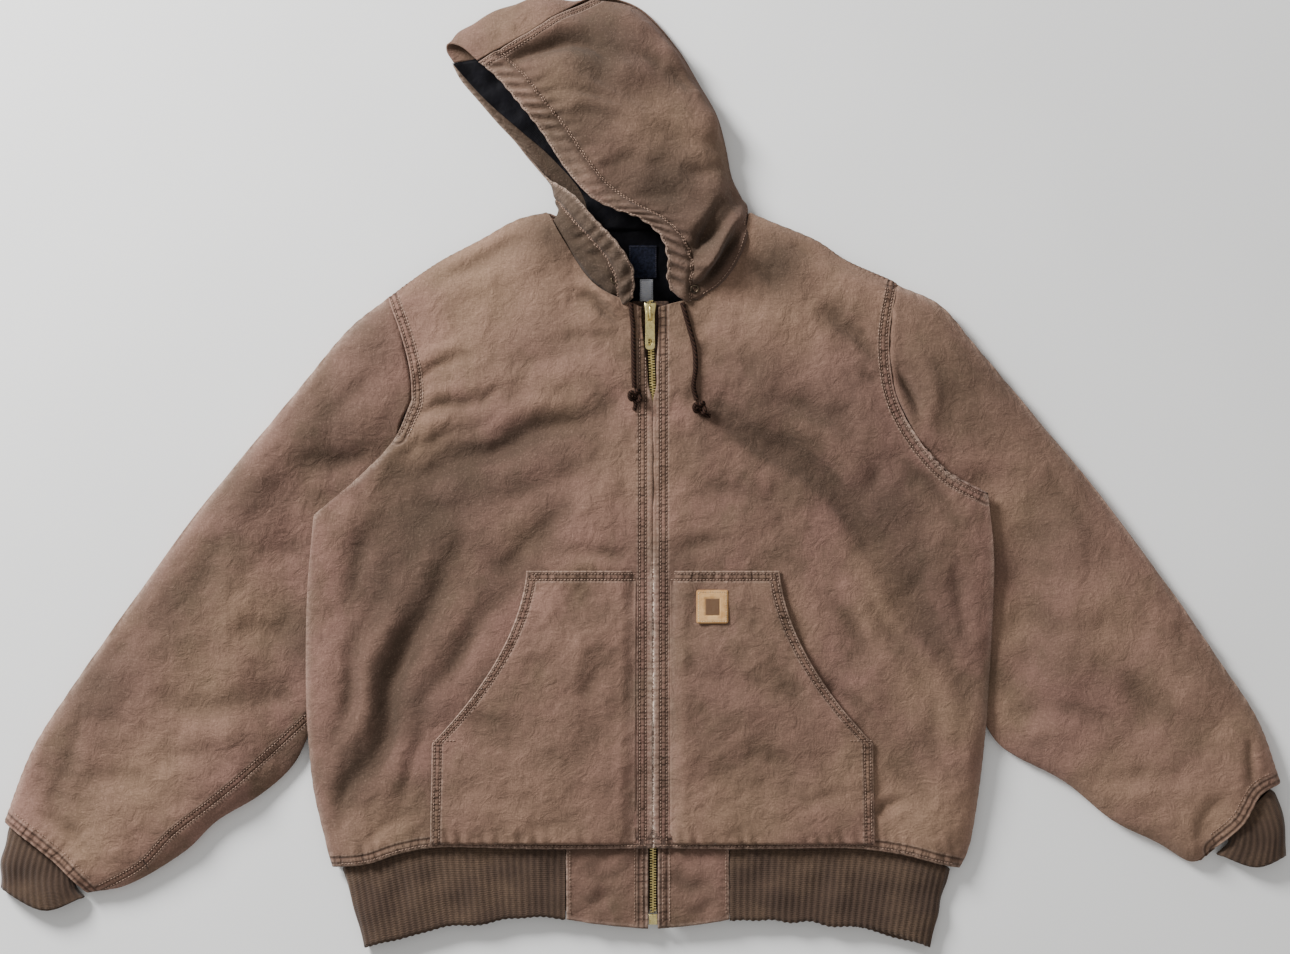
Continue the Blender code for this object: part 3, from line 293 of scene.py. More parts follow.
TONE_AND_LIGHT_PLACES = {  # (x, y, how wide, how much) of duller cloth and painted shade, or of paler cloth and painted light where it is below 0
    "front-right": [(-90, 243, 40, 0.85), (-45, 160, 50, 0.25), (-110, 150, 60, 0.25), (-110, 36, 34, 0.5),
                    (-180, 4, 46, 0.6), (-218, -50, 52, 0.8), (-250, -112, 46, 0.5), (-255, -190, 50, 0.35),
                    (-238, -225, 42, 0.5), (-288, -300, 32, 0.6), (15, -85, 30, 0.4), (-222, 42, 32, -0.8),
                    (-200, 112, 40, -0.5), (-165, 185, 35, -0.5), (-90, 77, 30, -0.8), (0, 8, 55, -0.6),
                    (-60, -105, 32, -0.5), (-125, -55, 24, -0.4), (-265, -358, 45, -0.8)],
    "front-left": [(130, 212, 40, 0.85), (38, 186, 32, 0.6), (95, 112, 45, 0.4), (150, 80, 46, 0.35),
                   (195, 150, 24, 0.3), (215, 52, 55, 0.35), (240, -30, 40, 0.75), (272, -90, 32, 0.55),
                   (297, -150, 26, 0.5), (20, -88, 30, 0.5), (218, -85, 26, -0.6), (238, -130, 28, -1.0),
                   (280, -208, 34, -0.9), (225, -308, 40, -0.8), (262, -360, 44, -0.9), (150, -140, 35, -0.5),
                   (315, -250, 26, -0.8), (310, -330, 40, -0.9), (235, 167, 30, -0.5), (145, 152, 35, -0.5),
                   (0, 8, 55, -0.6)],
    "sleeve-right": [(-275, 140, 42, 0.6), (-315, 62, 58, 0.6), (-400, -12, 52, 0.65), (-480, -112, 52, 0.5),
                     (-545, -205, 46, 0.75), (-560, -305, 36, 0.2), (-330, -165, 40, 0.6),
                     (-345, -280, 20, 0.6), (-395, -138, 35, -0.8), (-435, -213, 50, -0.6),
                     (-495, -300, 46, -0.9), (-560, -370, 46, -0.9)],
    "sleeve-left": [(275, 100, 46, 0.5), (335, 75, 46, 0.45), (415, -60, 50, 0.45), (405, -180, 34, 0.35),
                    (350, -45, 30, -0.9), (355, -145, 34, -0.9), (350, -235, 32, -0.8),
                    (455, -150, 32, -0.5), (470, -305, 50, -0.8), (555, -345, 46, -0.9),
                    (590, -260, 36, -0.4)],
    "pocket-right": [(-120, -352, 70, -0.5)],
    "pocket-left": [(85, -355, 70, -0.6), (60, -215, 60, 0.3), (30, -115, 26, 0.4), (215, -300, 40, -0.5)],
    "hood-left": [(-40, 425, 44, 0.9), (-70, 345, 40, 0.5), (20, 290, 40, 0.8), (68, 232, 44, 0.75),
                  (0, 258, 40, 0.45), (10, 352, 36, -0.9), (-80, 385, 30, -0.7), (62, 325, 34, -0.8)],
    "hood-right": [], "hood-centre": [(-130, 448, 40, -0.6)]}


def at(points):
    """Millimetres from the middle of the chest, as metres from the origin."""
    moved = np.asarray(points, float) - np.array([MIDDLE_X, MIDDLE_Y, 0.0])
    return moved * 0.001


def ease(low, high, value):
    """0 below low, 1 above high, and a smooth rise between."""
    t = np.clip((np.asarray(value, float) - low) / (high - low), 0.0, 1.0)
    return t * t * (3 - 2 * t)


def lengths(line):
    """How far along a line each of its points is."""
    return np.concatenate([[0], np.cumsum(np.linalg.norm(np.diff(line, axis=0), axis=1))])


def read(where, length, line):
    """The places on a line that are this far along it."""
    return np.stack([np.interp(where, length, line[:, k]) for k in range(line.shape[1])], -1)


def extended(line):
    """A line with one more point past each end."""
    return np.vstack([2 * line[0] - line[1], line, 2 * line[-1] - line[-2]])


def between(a, b, c, d, step):
    """The place this share of the way from b to c, on a smooth curve through a, b, c and d."""
    return 0.5 * (2 * b + (c - a) * step + (2 * a - 5 * b + 4 * c - d) * step**2
                  + (3 * b - a - 3 * c + d) * step**3)


def by_share(dense):
    """A function from 0..1 to the place that far along a line."""
    length = lengths(dense)
    length /= length[-1]
    return lambda share: read(share, length, dense)


def bell(distance, width):
    """1 at no distance, falling to nothing a little over this width away."""
    return np.exp(-(distance / width) ** 2)


def path(points):
    """A function from 0..1 to the place that far along a smooth curve through the points."""
    given = np.asarray(points, float)
    ends = extended(given)
    steps = np.linspace(0, 1, 13)[:-1, None]
    pieces = [between(*four, steps) for four in zip(ends, ends[1:], ends[2:], ends[3:])]
    return by_share(np.vstack(pieces + [given[-1:]]))


def joined(*curves, count=40):
    """One path through several, with its corners kept."""
    t = np.linspace(0, 1, count)
    return by_share(np.vstack([curve(t) for curve in curves]))


def waved(share, much):
    """Fractions 0..1 drawn together towards both ends, by this much."""
    return share - much * np.sin(2 * np.pi * share) / (2 * np.pi)


def patch(start, end, first, last, across, up):
    """A panel's points between four edges: start and end run across, first and last run up."""
    u, v = np.meshgrid(across, up)
    u, v = u[..., None], v[..., None]
    low, high = start(u[..., 0]), end(u[..., 0])
    near, far = first(v[..., 0]), last(v[..., 0])
    corners = ((1 - u) * (1 - v) * start(0.0) + u * (1 - v) * start(1.0)
               + (1 - u) * v * end(0.0) + u * v * end(1.0))
    return (1 - v) * low + v * high + (1 - u) * near + u * far - corners


def nearest(points, edge, count=160):
    """How far each point is from an edge, and the edge's place nearest to it."""
    line = edge(np.linspace(0, 1, count))
    flat = points[..., :2].reshape(-1, 2)
    away = np.linalg.norm(flat[:, None, :] - line[None, :, :2], axis=2)
    best = away.argmin(1)
    shape = points.shape[:-1]
    return away.min(1).reshape(shape), line[best].reshape(shape + (line.shape[1],))


def rise(distance, width):
    """The rounded rise of folded cloth, 0 on its edge and 1 past the roll's width."""
    t = np.clip(distance / width, 0.0, 1.0)
    return np.sqrt(1 - (1 - t) ** 2)


def fullness(points):
    """Height of the upper layer away from its edges."""
    x, y = np.abs(points[..., 0]), points[..., 1]
    body = (BODY_HEIGHT - SLEEVE_HEIGHT) * (1 - ease(60, 265, x)) * (1 - 0.8 * ease(60, 220, y))
    hem = (SLEEVE_HEIGHT - HEM_HEIGHT + body) * ease(-230, -372, y)
    arm = 5.0 * ease(300, 640, x)
    return SLEEVE_HEIGHT + body - hem * (1 - ease(340, 420, x)) - arm


def roof(points, edges, height):
    """The upper layer: up from the nearest of its edges, each an (edge, roll width) pair."""
    result = height
    for edge, width in edges:
        distance, place = nearest(points, edge)
        result = np.minimum(result, place[..., 2] + (height - place[..., 2]) * rise(distance, width))
    return result


def with_height(points, height):
    """A flat curve's points with a height given at evenly spaced places along it."""
    flat = path(points)
    if len(height) == 1:
        height = height * 2
    steps = np.linspace(0, 1, len(height))

    def along(t):
        return np.concatenate([flat(t), np.interp(t, steps, height)[..., None]], -1)

    return along


# The edges of the upper layer, with the height of the cloth along them

def side_edge(side):
    """From the armhole, over the fold above the sleeve and down the side, to the hem."""
    over, below = {"right": (RIGHT_FOLD, RIGHT_SIDE), "left": (LEFT_FOLD, LEFT_SIDE)}[side]
    fold = with_height(over, (26.0, 25.5, 24.5, 23.0))

    def down(t):
        """The side below the fold, sinking to the seam height near the hem."""
        place = path(below)(t)
        y = place[..., 1]
        z = EDGE_Z + 0.4 + 9.6 * ease(-275, -235, y) + 7.0 * ease(-240, -40, y)
        return np.concatenate([place, z[..., None]], -1)

    return joined(fold, down)


def upper_edge(side):
    """The folded edge along the shoulder and the top of the sleeve."""
    shoulder, sleeve = {"right": (RIGHT_SHOULDER, RIGHT_TOP_EDGE),
                        "left": (LEFT_SHOULDER, LEFT_TOP_EDGE)}[side]
    return joined(with_height(shoulder, (EDGE_Z,)), with_height(sleeve, (EDGE_Z,)))


def lower_edge(side):
    """The folded edge along the underarm side of the sleeve."""
    return with_height({"right": RIGHT_LOWER_EDGE, "left": LEFT_LOWER_EDGE}[side], (EDGE_Z,))


def front_height(points, side):
    """A front's height before its creases."""
    return roof(points, [(side_edge(side), TOP_ROLL), (upper_edge(side), TOP_ROLL)], fullness(points))


def centre_edge(side):
    """The front's zip edge from hem to neck, leaning open at the top to show the zip."""
    sign = SIGN[side]

    def along(t):
        y = -370 + 539 * np.asarray(t, float)
        opened = 4.4 * ease(72, 96, y) + 4.2 * ease(100, 160, y)
        x = CENTRE_X - 3.0 * ease(60, 170, y) + sign * (FRONT_GAP / 2 + opened)
        return np.stack([x, y], -1)

    return along


def sleeve_height(points, side):
    """A sleeve's upper layer, pressed down where the front folds over it."""
    top_of_dip = {"right": 82.0, "left": 60.0}[side]
    distance, _ = nearest(points, side_edge(side))
    over = points[..., 0] * SIGN[side]
    outside = distance * np.where(over > 300, 1.0, 0.9)
    reach = 1 - ease(18, 85, outside)
    dip = SLEEVE_DIP * ease(top_of_dip, top_of_dip - 90, points[..., 1]) * reach
    height = fullness(points) - dip
    return roof(points, [(upper_edge(side), TOP_ROLL), (lower_edge(side), TOP_ROLL * 0.85)], height)


def underside(points, edges):
    """The lower layer: on the floor, curling up to the seam height at its edges."""
    result = np.zeros(points.shape[:-1])
    for edge in edges:
        distance, place = nearest(points, edge)
        result = np.maximum(result, place[..., 2] * (1 - rise(distance, UNDER_ROLL)))
    return result


def pocket_outer(y, side):
    """How far from the zip a pocket reaches: its curved hand opening, then its straight side."""
    sign = SIGN[side]
    top, bottom = (-118.0, -212.0) if side == "right" else (134.0, 227.0)
    opening = np.clip((-97 - y) / 168.0, 0, 1)
    return top + (bottom - top) * (0.18 * opening + 0.82 * opening**1.9) + sign * 2.0 * ease(-262, -366, y)


def loft(sections, count):
    """Rows of points, each along the smooth curve through one section."""
    t = np.linspace(0, 1, count)
    return np.array([path(section)(t) for section in sections])


def smooth_rows(rows, count):
    """More rows, on smooth curves through the given ones."""
    fine = np.linspace(0, 1, count)
    result = np.empty((count, rows.shape[1], 3))
    where = fine * (len(rows) - 1)
    i = np.minimum(where.astype(int), len(rows) - 2)
    step = (where - i)[:, None]
    for k in range(rows.shape[1]):
        ends = extended(rows[:, k])
        result[:, k] = between(ends[i], ends[i + 1], ends[i + 2], ends[i + 3], step)
    return result

def carve(points, folds):
    """How far folded creases move a surface, in millimetres, and how deep in a trough each place is, which
    the canvas paints darker as painted shade.
    """
    wander = np.stack([rumple(points, 105, 201), rumple(points, 105, 202)], -1)
    flat = (points[..., :2] + WANDER * wander).reshape(-1, 2)
    moved, shade = np.zeros(len(flat)), np.zeros(len(flat))
    for line, half_width, depth, lean in folds:
        place = path(line)(np.linspace(0, 1, 44))
        tangent = np.gradient(place, axis=0)
        tangent /= np.linalg.norm(tangent, axis=1)[:, None]
        away = flat[:, None, :] - place[None]
        best = (away**2).sum(2).argmin(1)
        off = away[np.arange(len(flat)), best]
        turn = tangent[best]
        side = np.sign(turn[:, 0] * off[:, 1] - turn[:, 1] * off[:, 0])
        distance = np.hypot(off[:, 0], off[:, 1])
        fade = np.sin(np.pi * np.clip(best / 43.0, 0.03, 0.97)) ** 0.7
        trough = CREASE * depth * fade / (1 + (distance / half_width) ** 2) ** 1.6
        share = np.where(side == lean, 0.42, 0.1) if lean else 0.2
        crest = CREASE * depth * fade * share * bell(distance - 1.9 * half_width, half_width)
        moved += crest - trough
        # The trough's depth, kept for painted shade.
        shade += trough / 7.5
    shape = points.shape[:-1]
    return moved.reshape(shape), np.clip(shade, 0, 1).reshape(shape)


def tones(points, places, dull_and_shade=0.0, faded_and_lit=0.0):
    """How much duller each point of a panel is, partly painted shade, and how much paler, partly painted
    light, from the places given on it.
    """
    for x, y, wide, much in places:
        near = np.exp(-np.hypot(points[..., 0] - x, points[..., 1] - y) ** 2 / wide**2)
        if much > 0:
            dull_and_shade = dull_and_shade + (1 - dull_and_shade) * much * near
        else:
            faded_and_lit = faded_and_lit - much * near
    blank = np.zeros(points.shape[:-1])
    return {"dull_and_shade": blank + dull_and_shade, "faded_and_lit": np.clip(blank + faded_and_lit, 0, 1.2)}


def rumple(points, size, seed, waves=26):
    """Gentle unevenness with bumps about this many millimetres across, about 1 high and repeatable."""
    random = np.random.default_rng(seed)
    angle = random.uniform(0, 2 * np.pi, waves)
    number = 2 * np.pi / (size * random.uniform(0.65, 1.7, waves))
    start = random.uniform(0, 2 * np.pi, waves)
    x, y = points[..., 0, None], points[..., 1, None]
    return np.cos(number * (np.cos(angle) * x + np.sin(angle) * y) + start).sum(-1) * math.sqrt(2 / waves)


def gathers(along, pitch, seed):
    """Puckers drawn in by a thread: 0 between them and -1 in each, uneven in pitch and depth."""
    random = np.random.default_rng(seed)
    drift = sum(a * np.sin(along / s + p) for a, s, p in zip(random.uniform(0.5, 1.0, 4),
                random.uniform(9, 34, 4), random.uniform(0, 6, 4)))
    depth = 0.65 + 0.35 * np.sin(along / (pitch * 2.3) + drift)
    return -depth * (0.5 + 0.5 * np.cos(2 * np.pi * along / pitch + 1.3 * drift)) ** 1.4


def upper_relief(points, folds, edges, seed):
    """Creases and unevenness of a top layer, held down to nothing at its edges."""
    moved, shade = carve(points, folds)
    near = np.min([nearest(points, edge)[0] for edge in edges], axis=0)
    hold = ease(0, 20, near)
    uneven = 0.9 * rumple(points, 95, seed) + 0.42 * rumple(points, 38, seed + 1)
    uneven = uneven + 0.16 * rumple(points, 15, seed + 2)
    return (moved + uneven) * hold, shade * hold


def front_relief(points, side):
    """The crease height of one front, and its troughs."""
    folds = RIGHT_CREASES if side == "right" else LEFT_CREASES
    seed = 3 if side == "right" else 13
    moved, shade = upper_relief(points, folds, [side_edge(side), upper_edge(side)], seed)
    hem = points[..., 1] + 371 + 18 * ease(230, 320, np.abs(points[..., 0]))
    drawn = 2.8 * gathers(points[..., 0] + 0.25 * hem, 13.5, 5) * bell(np.maximum(hem, 0), 17.0)
    meeting = 0.25 + 0.75 * ease(0, 16, np.abs(points[..., 0] - CENTRE_X))
    moved = moved * ease(0, 18, hem) * meeting
    # Hem puckers deepen the trough mark, for painted shade.
    return moved + drawn, np.clip(shade - 0.35 * drawn, 0, 1)


def front_surface(points, side):
    """Height of a front's outer side at these places."""
    return front_height(points, side) + front_relief(points, side)[0]


def normals(points):
    """Which way each place of a grid of points faces."""
    across, up = np.gradient(points, axis=1), np.gradient(points, axis=0)
    facing = np.cross(across, up)
    return facing / np.maximum(np.linalg.norm(facing, axis=2), 1e-9)[..., None]


def distance_along(points, axis):
    """How far along its rows or columns each place of a grid is, in millimetres."""
    steps = np.linalg.norm(np.diff(points, axis=axis), axis=2)
    pad = np.zeros_like(np.take(steps, [0], axis=axis))
    return np.cumsum(np.concatenate([pad, steps], axis=axis), axis=axis)


def seam_marks(points, seams):
    """Distance from the middle of the nearest seam allowance, and the place along it, in millimetres."""
    flat = points[..., :2].reshape(-1, 2)
    distance, along = np.full(len(flat), 60.0), np.zeros(len(flat))
    for number, seam in enumerate(seams):
        line = seam(np.linspace(0, 1, 260))[:, :2]
        length = lengths(line)
        away = np.linalg.norm(flat[:, None, :] - line[None], axis=2)
        best = away.argmin(1)
        found = away.min(1) - SEAM_IN
        closer = np.abs(found) < np.abs(distance)
        distance[closer] = found[closer]
        along[closer] = length[best[closer]] + 37.0 * number
    shape = points.shape[:-1]
    return distance.reshape(shape), along.reshape(shape)


def shell(name, points, wall, look, closed=False, flip=False, marks=None):
    """A panel as a thin shell: a grid through the points, its outer side, with the wall inside it.

    marks holds numbers for each point, such as how worn it is, for the panel's material.
    """
    rows, columns = points.shape[:2]
    if closed:
        points = points[:, :-1]
        marks = {key: value[:, :-1] for key, value in (marks or {}).items()}
    wide = points.shape[1]
    low, left = np.meshgrid(np.arange(rows - 1), np.arange(columns - 1), indexing="ij")
    right = (left + 1) % wide if closed else left + 1
    high = low + 1
    faces = np.stack([low * wide + left, low * wide + right, high * wide + right, high * wide + left], -1)
    faces = faces.reshape(-1, 4)
    mesh = bpy.data.meshes.new(name)
    mesh.from_pydata(at(points).reshape(-1, 3).tolist(), [], (faces[:, ::-1] if flip else faces).tolist())
    for key, value in (marks or {}).items():
        layer = mesh.attributes.new(key, "FLOAT", "POINT")
        layer.data.foreach_set("value", np.broadcast_to(value, points.shape[:2]).astype(np.float32).ravel())
    mesh.shade_smooth()
    made = show(name, mesh, look)
    if wall:
        thick = made.modifiers.new("Wall", "SOLIDIFY")
        thick.thickness = wall * 0.001
        thick.offset = -1.0
        thick.use_rim = True
    return made


def show(name, data, look, body="jacket"):
    """An object for a mesh or curve, riding on its body."""
    made = bpy.data.objects.new(name, data)
    if not data.materials:
        data.materials.append(look)
    frame_scene.collection.objects.link(made)
    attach(made, body)
    return made


def stands_for(made, node):
    """A finished piece takes the place of its CAD node."""
    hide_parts(node)
    return made


def resample(points, pitch):
    """Places at an even pitch along a line of 3-D points, with the direction at each."""
    points = np.asarray(points, float)
    length = lengths(points)
    where = np.arange(pitch * 0.5, length[-1], pitch)
    direction = read(where + 0.5, length, points) - read(where - 0.5, length, points)
    direction /= np.maximum(np.linalg.norm(direction, axis=1), 1e-9)[:, None]
    return read(where, length, points), direction


def stitches(name, lines, look, pitch=STITCH_PITCH, length=STITCH_LENGTH, width=STITCH_WIDTH):
    """Rows of sewn thread: one short five-sided capsule for each stitch, all in one mesh."""
    place, way = map(np.concatenate, zip(*[resample(line, pitch) for line in lines]))
    side = np.cross(way, (0.0, 0.0, 1.0))
    side /= np.maximum(np.linalg.norm(side, axis=1), 1e-9)[:, None]
    up = np.cross(side, way)
    angles = np.linspace(0, 2 * np.pi, 6)[:-1]
    ring = np.stack([np.cos(angles), np.sin(angles)], -1) * width / 2
    corners = [(-length / 2, 0, 0)] + [(-length * 0.32, a, b) for a, b in ring]
    corners += [(length * 0.32, a, b) for a, b in ring] + [(length / 2, 0, 0)]
    corners = np.array(corners)
    forward, aside, above = (corners[None, :, k, None] for k in range(3))
    points = (place[:, None] + forward * way[:, None] + aside * side[:, None]
              + (above + width * 0.12) * up[:, None])
    faces = []
    for k in range(5):
        after = (k + 1) % 5
        faces += [(0, 1 + after, 1 + k), (1 + k, 1 + after, 6 + after, 6 + k), (11, 6 + k, 6 + after)]
    every = [tuple(corner + len(corners) * n for corner in face) for n in range(len(place)) for face in faces]
    mesh = bpy.data.meshes.new(name)
    mesh.from_pydata(at(points.reshape(-1, 3)).tolist(), [], every)
    mesh.shade_smooth()
    return show(name, mesh, look)


def on_panel(line, side, lift=0.25):
    """A line seen from above, laid on a front's creased surface."""
    plan = np.asarray(line, float)[None, :, :2]
    return np.column_stack([plan[0], front_surface(plan, side)[0] + lift])


def beside(line, offset, count=120, start=0.0, end=1.0):
    """A line this far to the left of another, seen from above."""
    place = line(np.linspace(start, end, count))[:, :2]
    tangent = np.gradient(place, axis=0)
    tangent /= np.linalg.norm(tangent, axis=1)[:, None]
    return place + offset * np.column_stack([-tangent[:, 1], tangent[:, 0]])


def laid_on(points, line):
    """A line seen from above, laid on the nearest points of a panel."""
    where, every = np.asarray(line, float)[:, :2], points.reshape(-1, 3)
    best = ((where[:, None, :] - every[None, :, :2]) ** 2).sum(2).argmin(1)
    return np.column_stack([where, every[best, 2] + STITCH_LIFT])


def crowded(count, low=0.0, high=0.0):
    """Fractions 0..1, this much closer together towards the low end or the high end."""
    t = np.linspace(0, 1, count)
    return t - low * np.sin(np.pi * t) * (1 - t) / np.pi + high * np.sin(np.pi * t) * t / np.pi


def fronts(looks):
    """The two fronts, each as one panel from the zip to the fold over the sleeve."""
    for side in ("right", "left"):
        shoulder, neck, hem, armhole, fold, flank = {
            "right": (RIGHT_SHOULDER, RIGHT_NECK, RIGHT_HEM, RIGHT_ARMHOLE, RIGHT_FOLD, RIGHT_SIDE),
            "left": (LEFT_SHOULDER, LEFT_NECK, LEFT_HEM, LEFT_ARMHOLE, LEFT_FOLD, LEFT_SIDE)}[side]
        middle = centre_edge(side)
        outer = joined(path(flank[::-1]), path(fold[::-1]), path(armhole[::-1]), count=80)
        top = joined(path([tuple(middle(1.0))] + neck[1:]), path(shoulder), count=80)
        bottom = path([tuple(middle(0.0))] + hem[1:])
        plan = patch(bottom, top, middle, outer, crowded(112, 0.2, 0.75), crowded(178, 0.0, 0.6))
        relief, shade = front_relief(plan, side)
        points = np.dstack([plan, front_height(plan, side) + relief])
        sewn = path(armhole + (fold[1:] if side == "left" else [(-238, 62), (-247, 42)]))
        distance, along = seam_marks(plan, [sewn, path(hem)])
        centre = np.abs(plan[..., 0] - CENTRE_X)
        rows_away = centre - PLACKET
        placket = np.abs(rows_away) < np.abs(distance)
        distance = np.where(placket, rows_away, distance)
        along = np.where(placket, plan[..., 1], along)
        fold_distance, _ = nearest(plan, path(fold + flank[1:]))
        worn = bell(fold_distance, 4.0) * (0.25 + 0.35 * ease(-90, -20, plan[..., 1]))
        hem_distance = nearest(plan, path(hem))[0]
        worn = np.maximum(worn, bell(hem_distance, 4.0) * 0.4)
        worn = np.maximum(worn, bell(centre, 2.8) * (0.16 + 0.84 * ease(-60, -100, plan[..., 1])))
        # Paler upper chest and shoulders: partly faded cloth, partly a painted highlight.
        upper_fade_and_highlight = ease(60, 220, plan[..., 1]) * ease(300, 90, np.abs(plan[..., 0]))
        made = shell(f"front-{side}", points, SHELL, looks["canvas"], flip=side == "right",
                     marks={"seam": distance, "along": along, "worn": worn, "trough": shade, "raised": relief,
                            **tones(plan, TONE_AND_LIGHT_PLACES["front-" + side], faded_and_lit=upper_fade_and_highlight)})
        stands_for(made, f"front_{side}")

        sign = SIGN[side]
        rows = []
        for from_centre, high in ((PLACKET - ROW_APART, 118), (PLACKET + ROW_APART, 140)):
            y = np.linspace(-366, high, 160)
            rows.append(on_panel(np.column_stack([CENTRE_X + sign * from_centre + 0 * y, y]), side))
        for offset in (-SEAM_IN + ROW_APART, -SEAM_IN - ROW_APART, -SEAM_IN - ROW_APART - 2):
            rows.append(on_panel(beside(sewn, sign * offset, start=0.02, end=0.97), side))
        rows.append(on_panel(path(hem)(np.linspace(0.02, 0.97, 120)) + (0, 3.0), side))
        stitches(f"front-stitches-{side}", rows, looks["thread"])


def pockets(looks):
    """The two hand pockets, their curved openings standing a little off the fronts."""
    for side in ("right", "left"):
        sign = SIGN[side]
        inner = {"right": -9.0, "left": 25.0}[side]
        y, u = np.meshgrid(POCKET_BOTTOM + (POCKET_TOP - POCKET_BOTTOM) * crowded(100, 0.0, 0.3),
                           crowded(76, 0.3, 0.6), indexing="ij")
        x = inner + (pocket_outer(y, side) - inner) * u
        plan = np.dstack([x, y])
        edge = np.abs(pocket_outer(y, side) - x)
        top, bottom = POCKET_TOP - y, y - POCKET_BOTTOM
        proud = 2.5 * ease(-268, -226, y) * ease(-96, -130, y) * ease(0.3, 1.0, u)
        roll = rise(np.minimum(edge, np.minimum(top, bottom) + 0.6), 5.0)
        opening = ease(-262, -240, y) * ease(-97, -112, y)
        drawn = 1.5 * gathers(y + 0.6 * x, 9.0, 8) * bell(edge - 6, 5.0) * (0.6 + 0.4 * opening)
        drawn += 1.3 * gathers(x, 9.5, 18) * bell(top - 6, 5.0)
        drawn += 1.6 * gathers(x + 3, 14.0, 28) * bell(bottom, 12.0)
        own, shade = carve(plan, POCKET_CREASES)
        under = front_relief(plan, side)[0]
        from_zip = ease(0, 16, np.abs(x - inner))
        lift = -1.2 + (CANVAS + 1.8) * from_zip + 1.6 * roll + proud + drawn + own
        lift = lift + 0.35 * rumple(plan, 60, 31) * roll
        points = np.dstack([plan, front_height(plan, side) + under + lift])
        worn = bell(edge, 2.2) * (0.3 + 0.25 * opening)
        worn = np.maximum(worn, bell(top, 2.2) * 0.35)
        worn = np.maximum(worn, np.exp(-(np.abs(x - CENTRE_X) / 22.0) ** 4) * 0.22)
        # Puckers deepen the trough mark, for painted shade.
        marks = {"seam": np.minimum(edge, top) - SEAM_IN, "along": np.where(edge < top, y * 1.15, x),
                 "worn": worn, "trough": np.clip(shade - 0.4 * drawn, 0, 1), "raised": under + own,
                 **tones(plan, TONE_AND_LIGHT_PLACES["pocket-" + side], faded_and_lit=0.22)}
        made = shell(f"pocket-{side}", points, 1.4, looks["canvas"], flip=side == "right", marks=marks)
        stands_for(made, f"pocket_{side}")

        rows = []
        for offset in (SEAM_IN - ROW_APART, SEAM_IN + ROW_APART):
            down = np.linspace(-96.0, -364.0, 240)
            rows.append(laid_on(points, np.column_stack([pocket_outer(down, side) - sign * offset, down])))
            over = np.linspace(inner, pocket_outer(POCKET_TOP, side) - sign * 4.0, 110)
            rows.append(laid_on(points, np.column_stack([over, np.full_like(over, POCKET_TOP - offset)])))
        tack = pocket_outer(-265.0, side)
        across = np.linspace(tack - sign * 24.0, tack - sign * 2, 12)
        rows.append(laid_on(points, np.column_stack([across, np.full_like(across, -262.0)])))
        stitches(f"pocket-stitches-{side}", rows, looks["thread"])


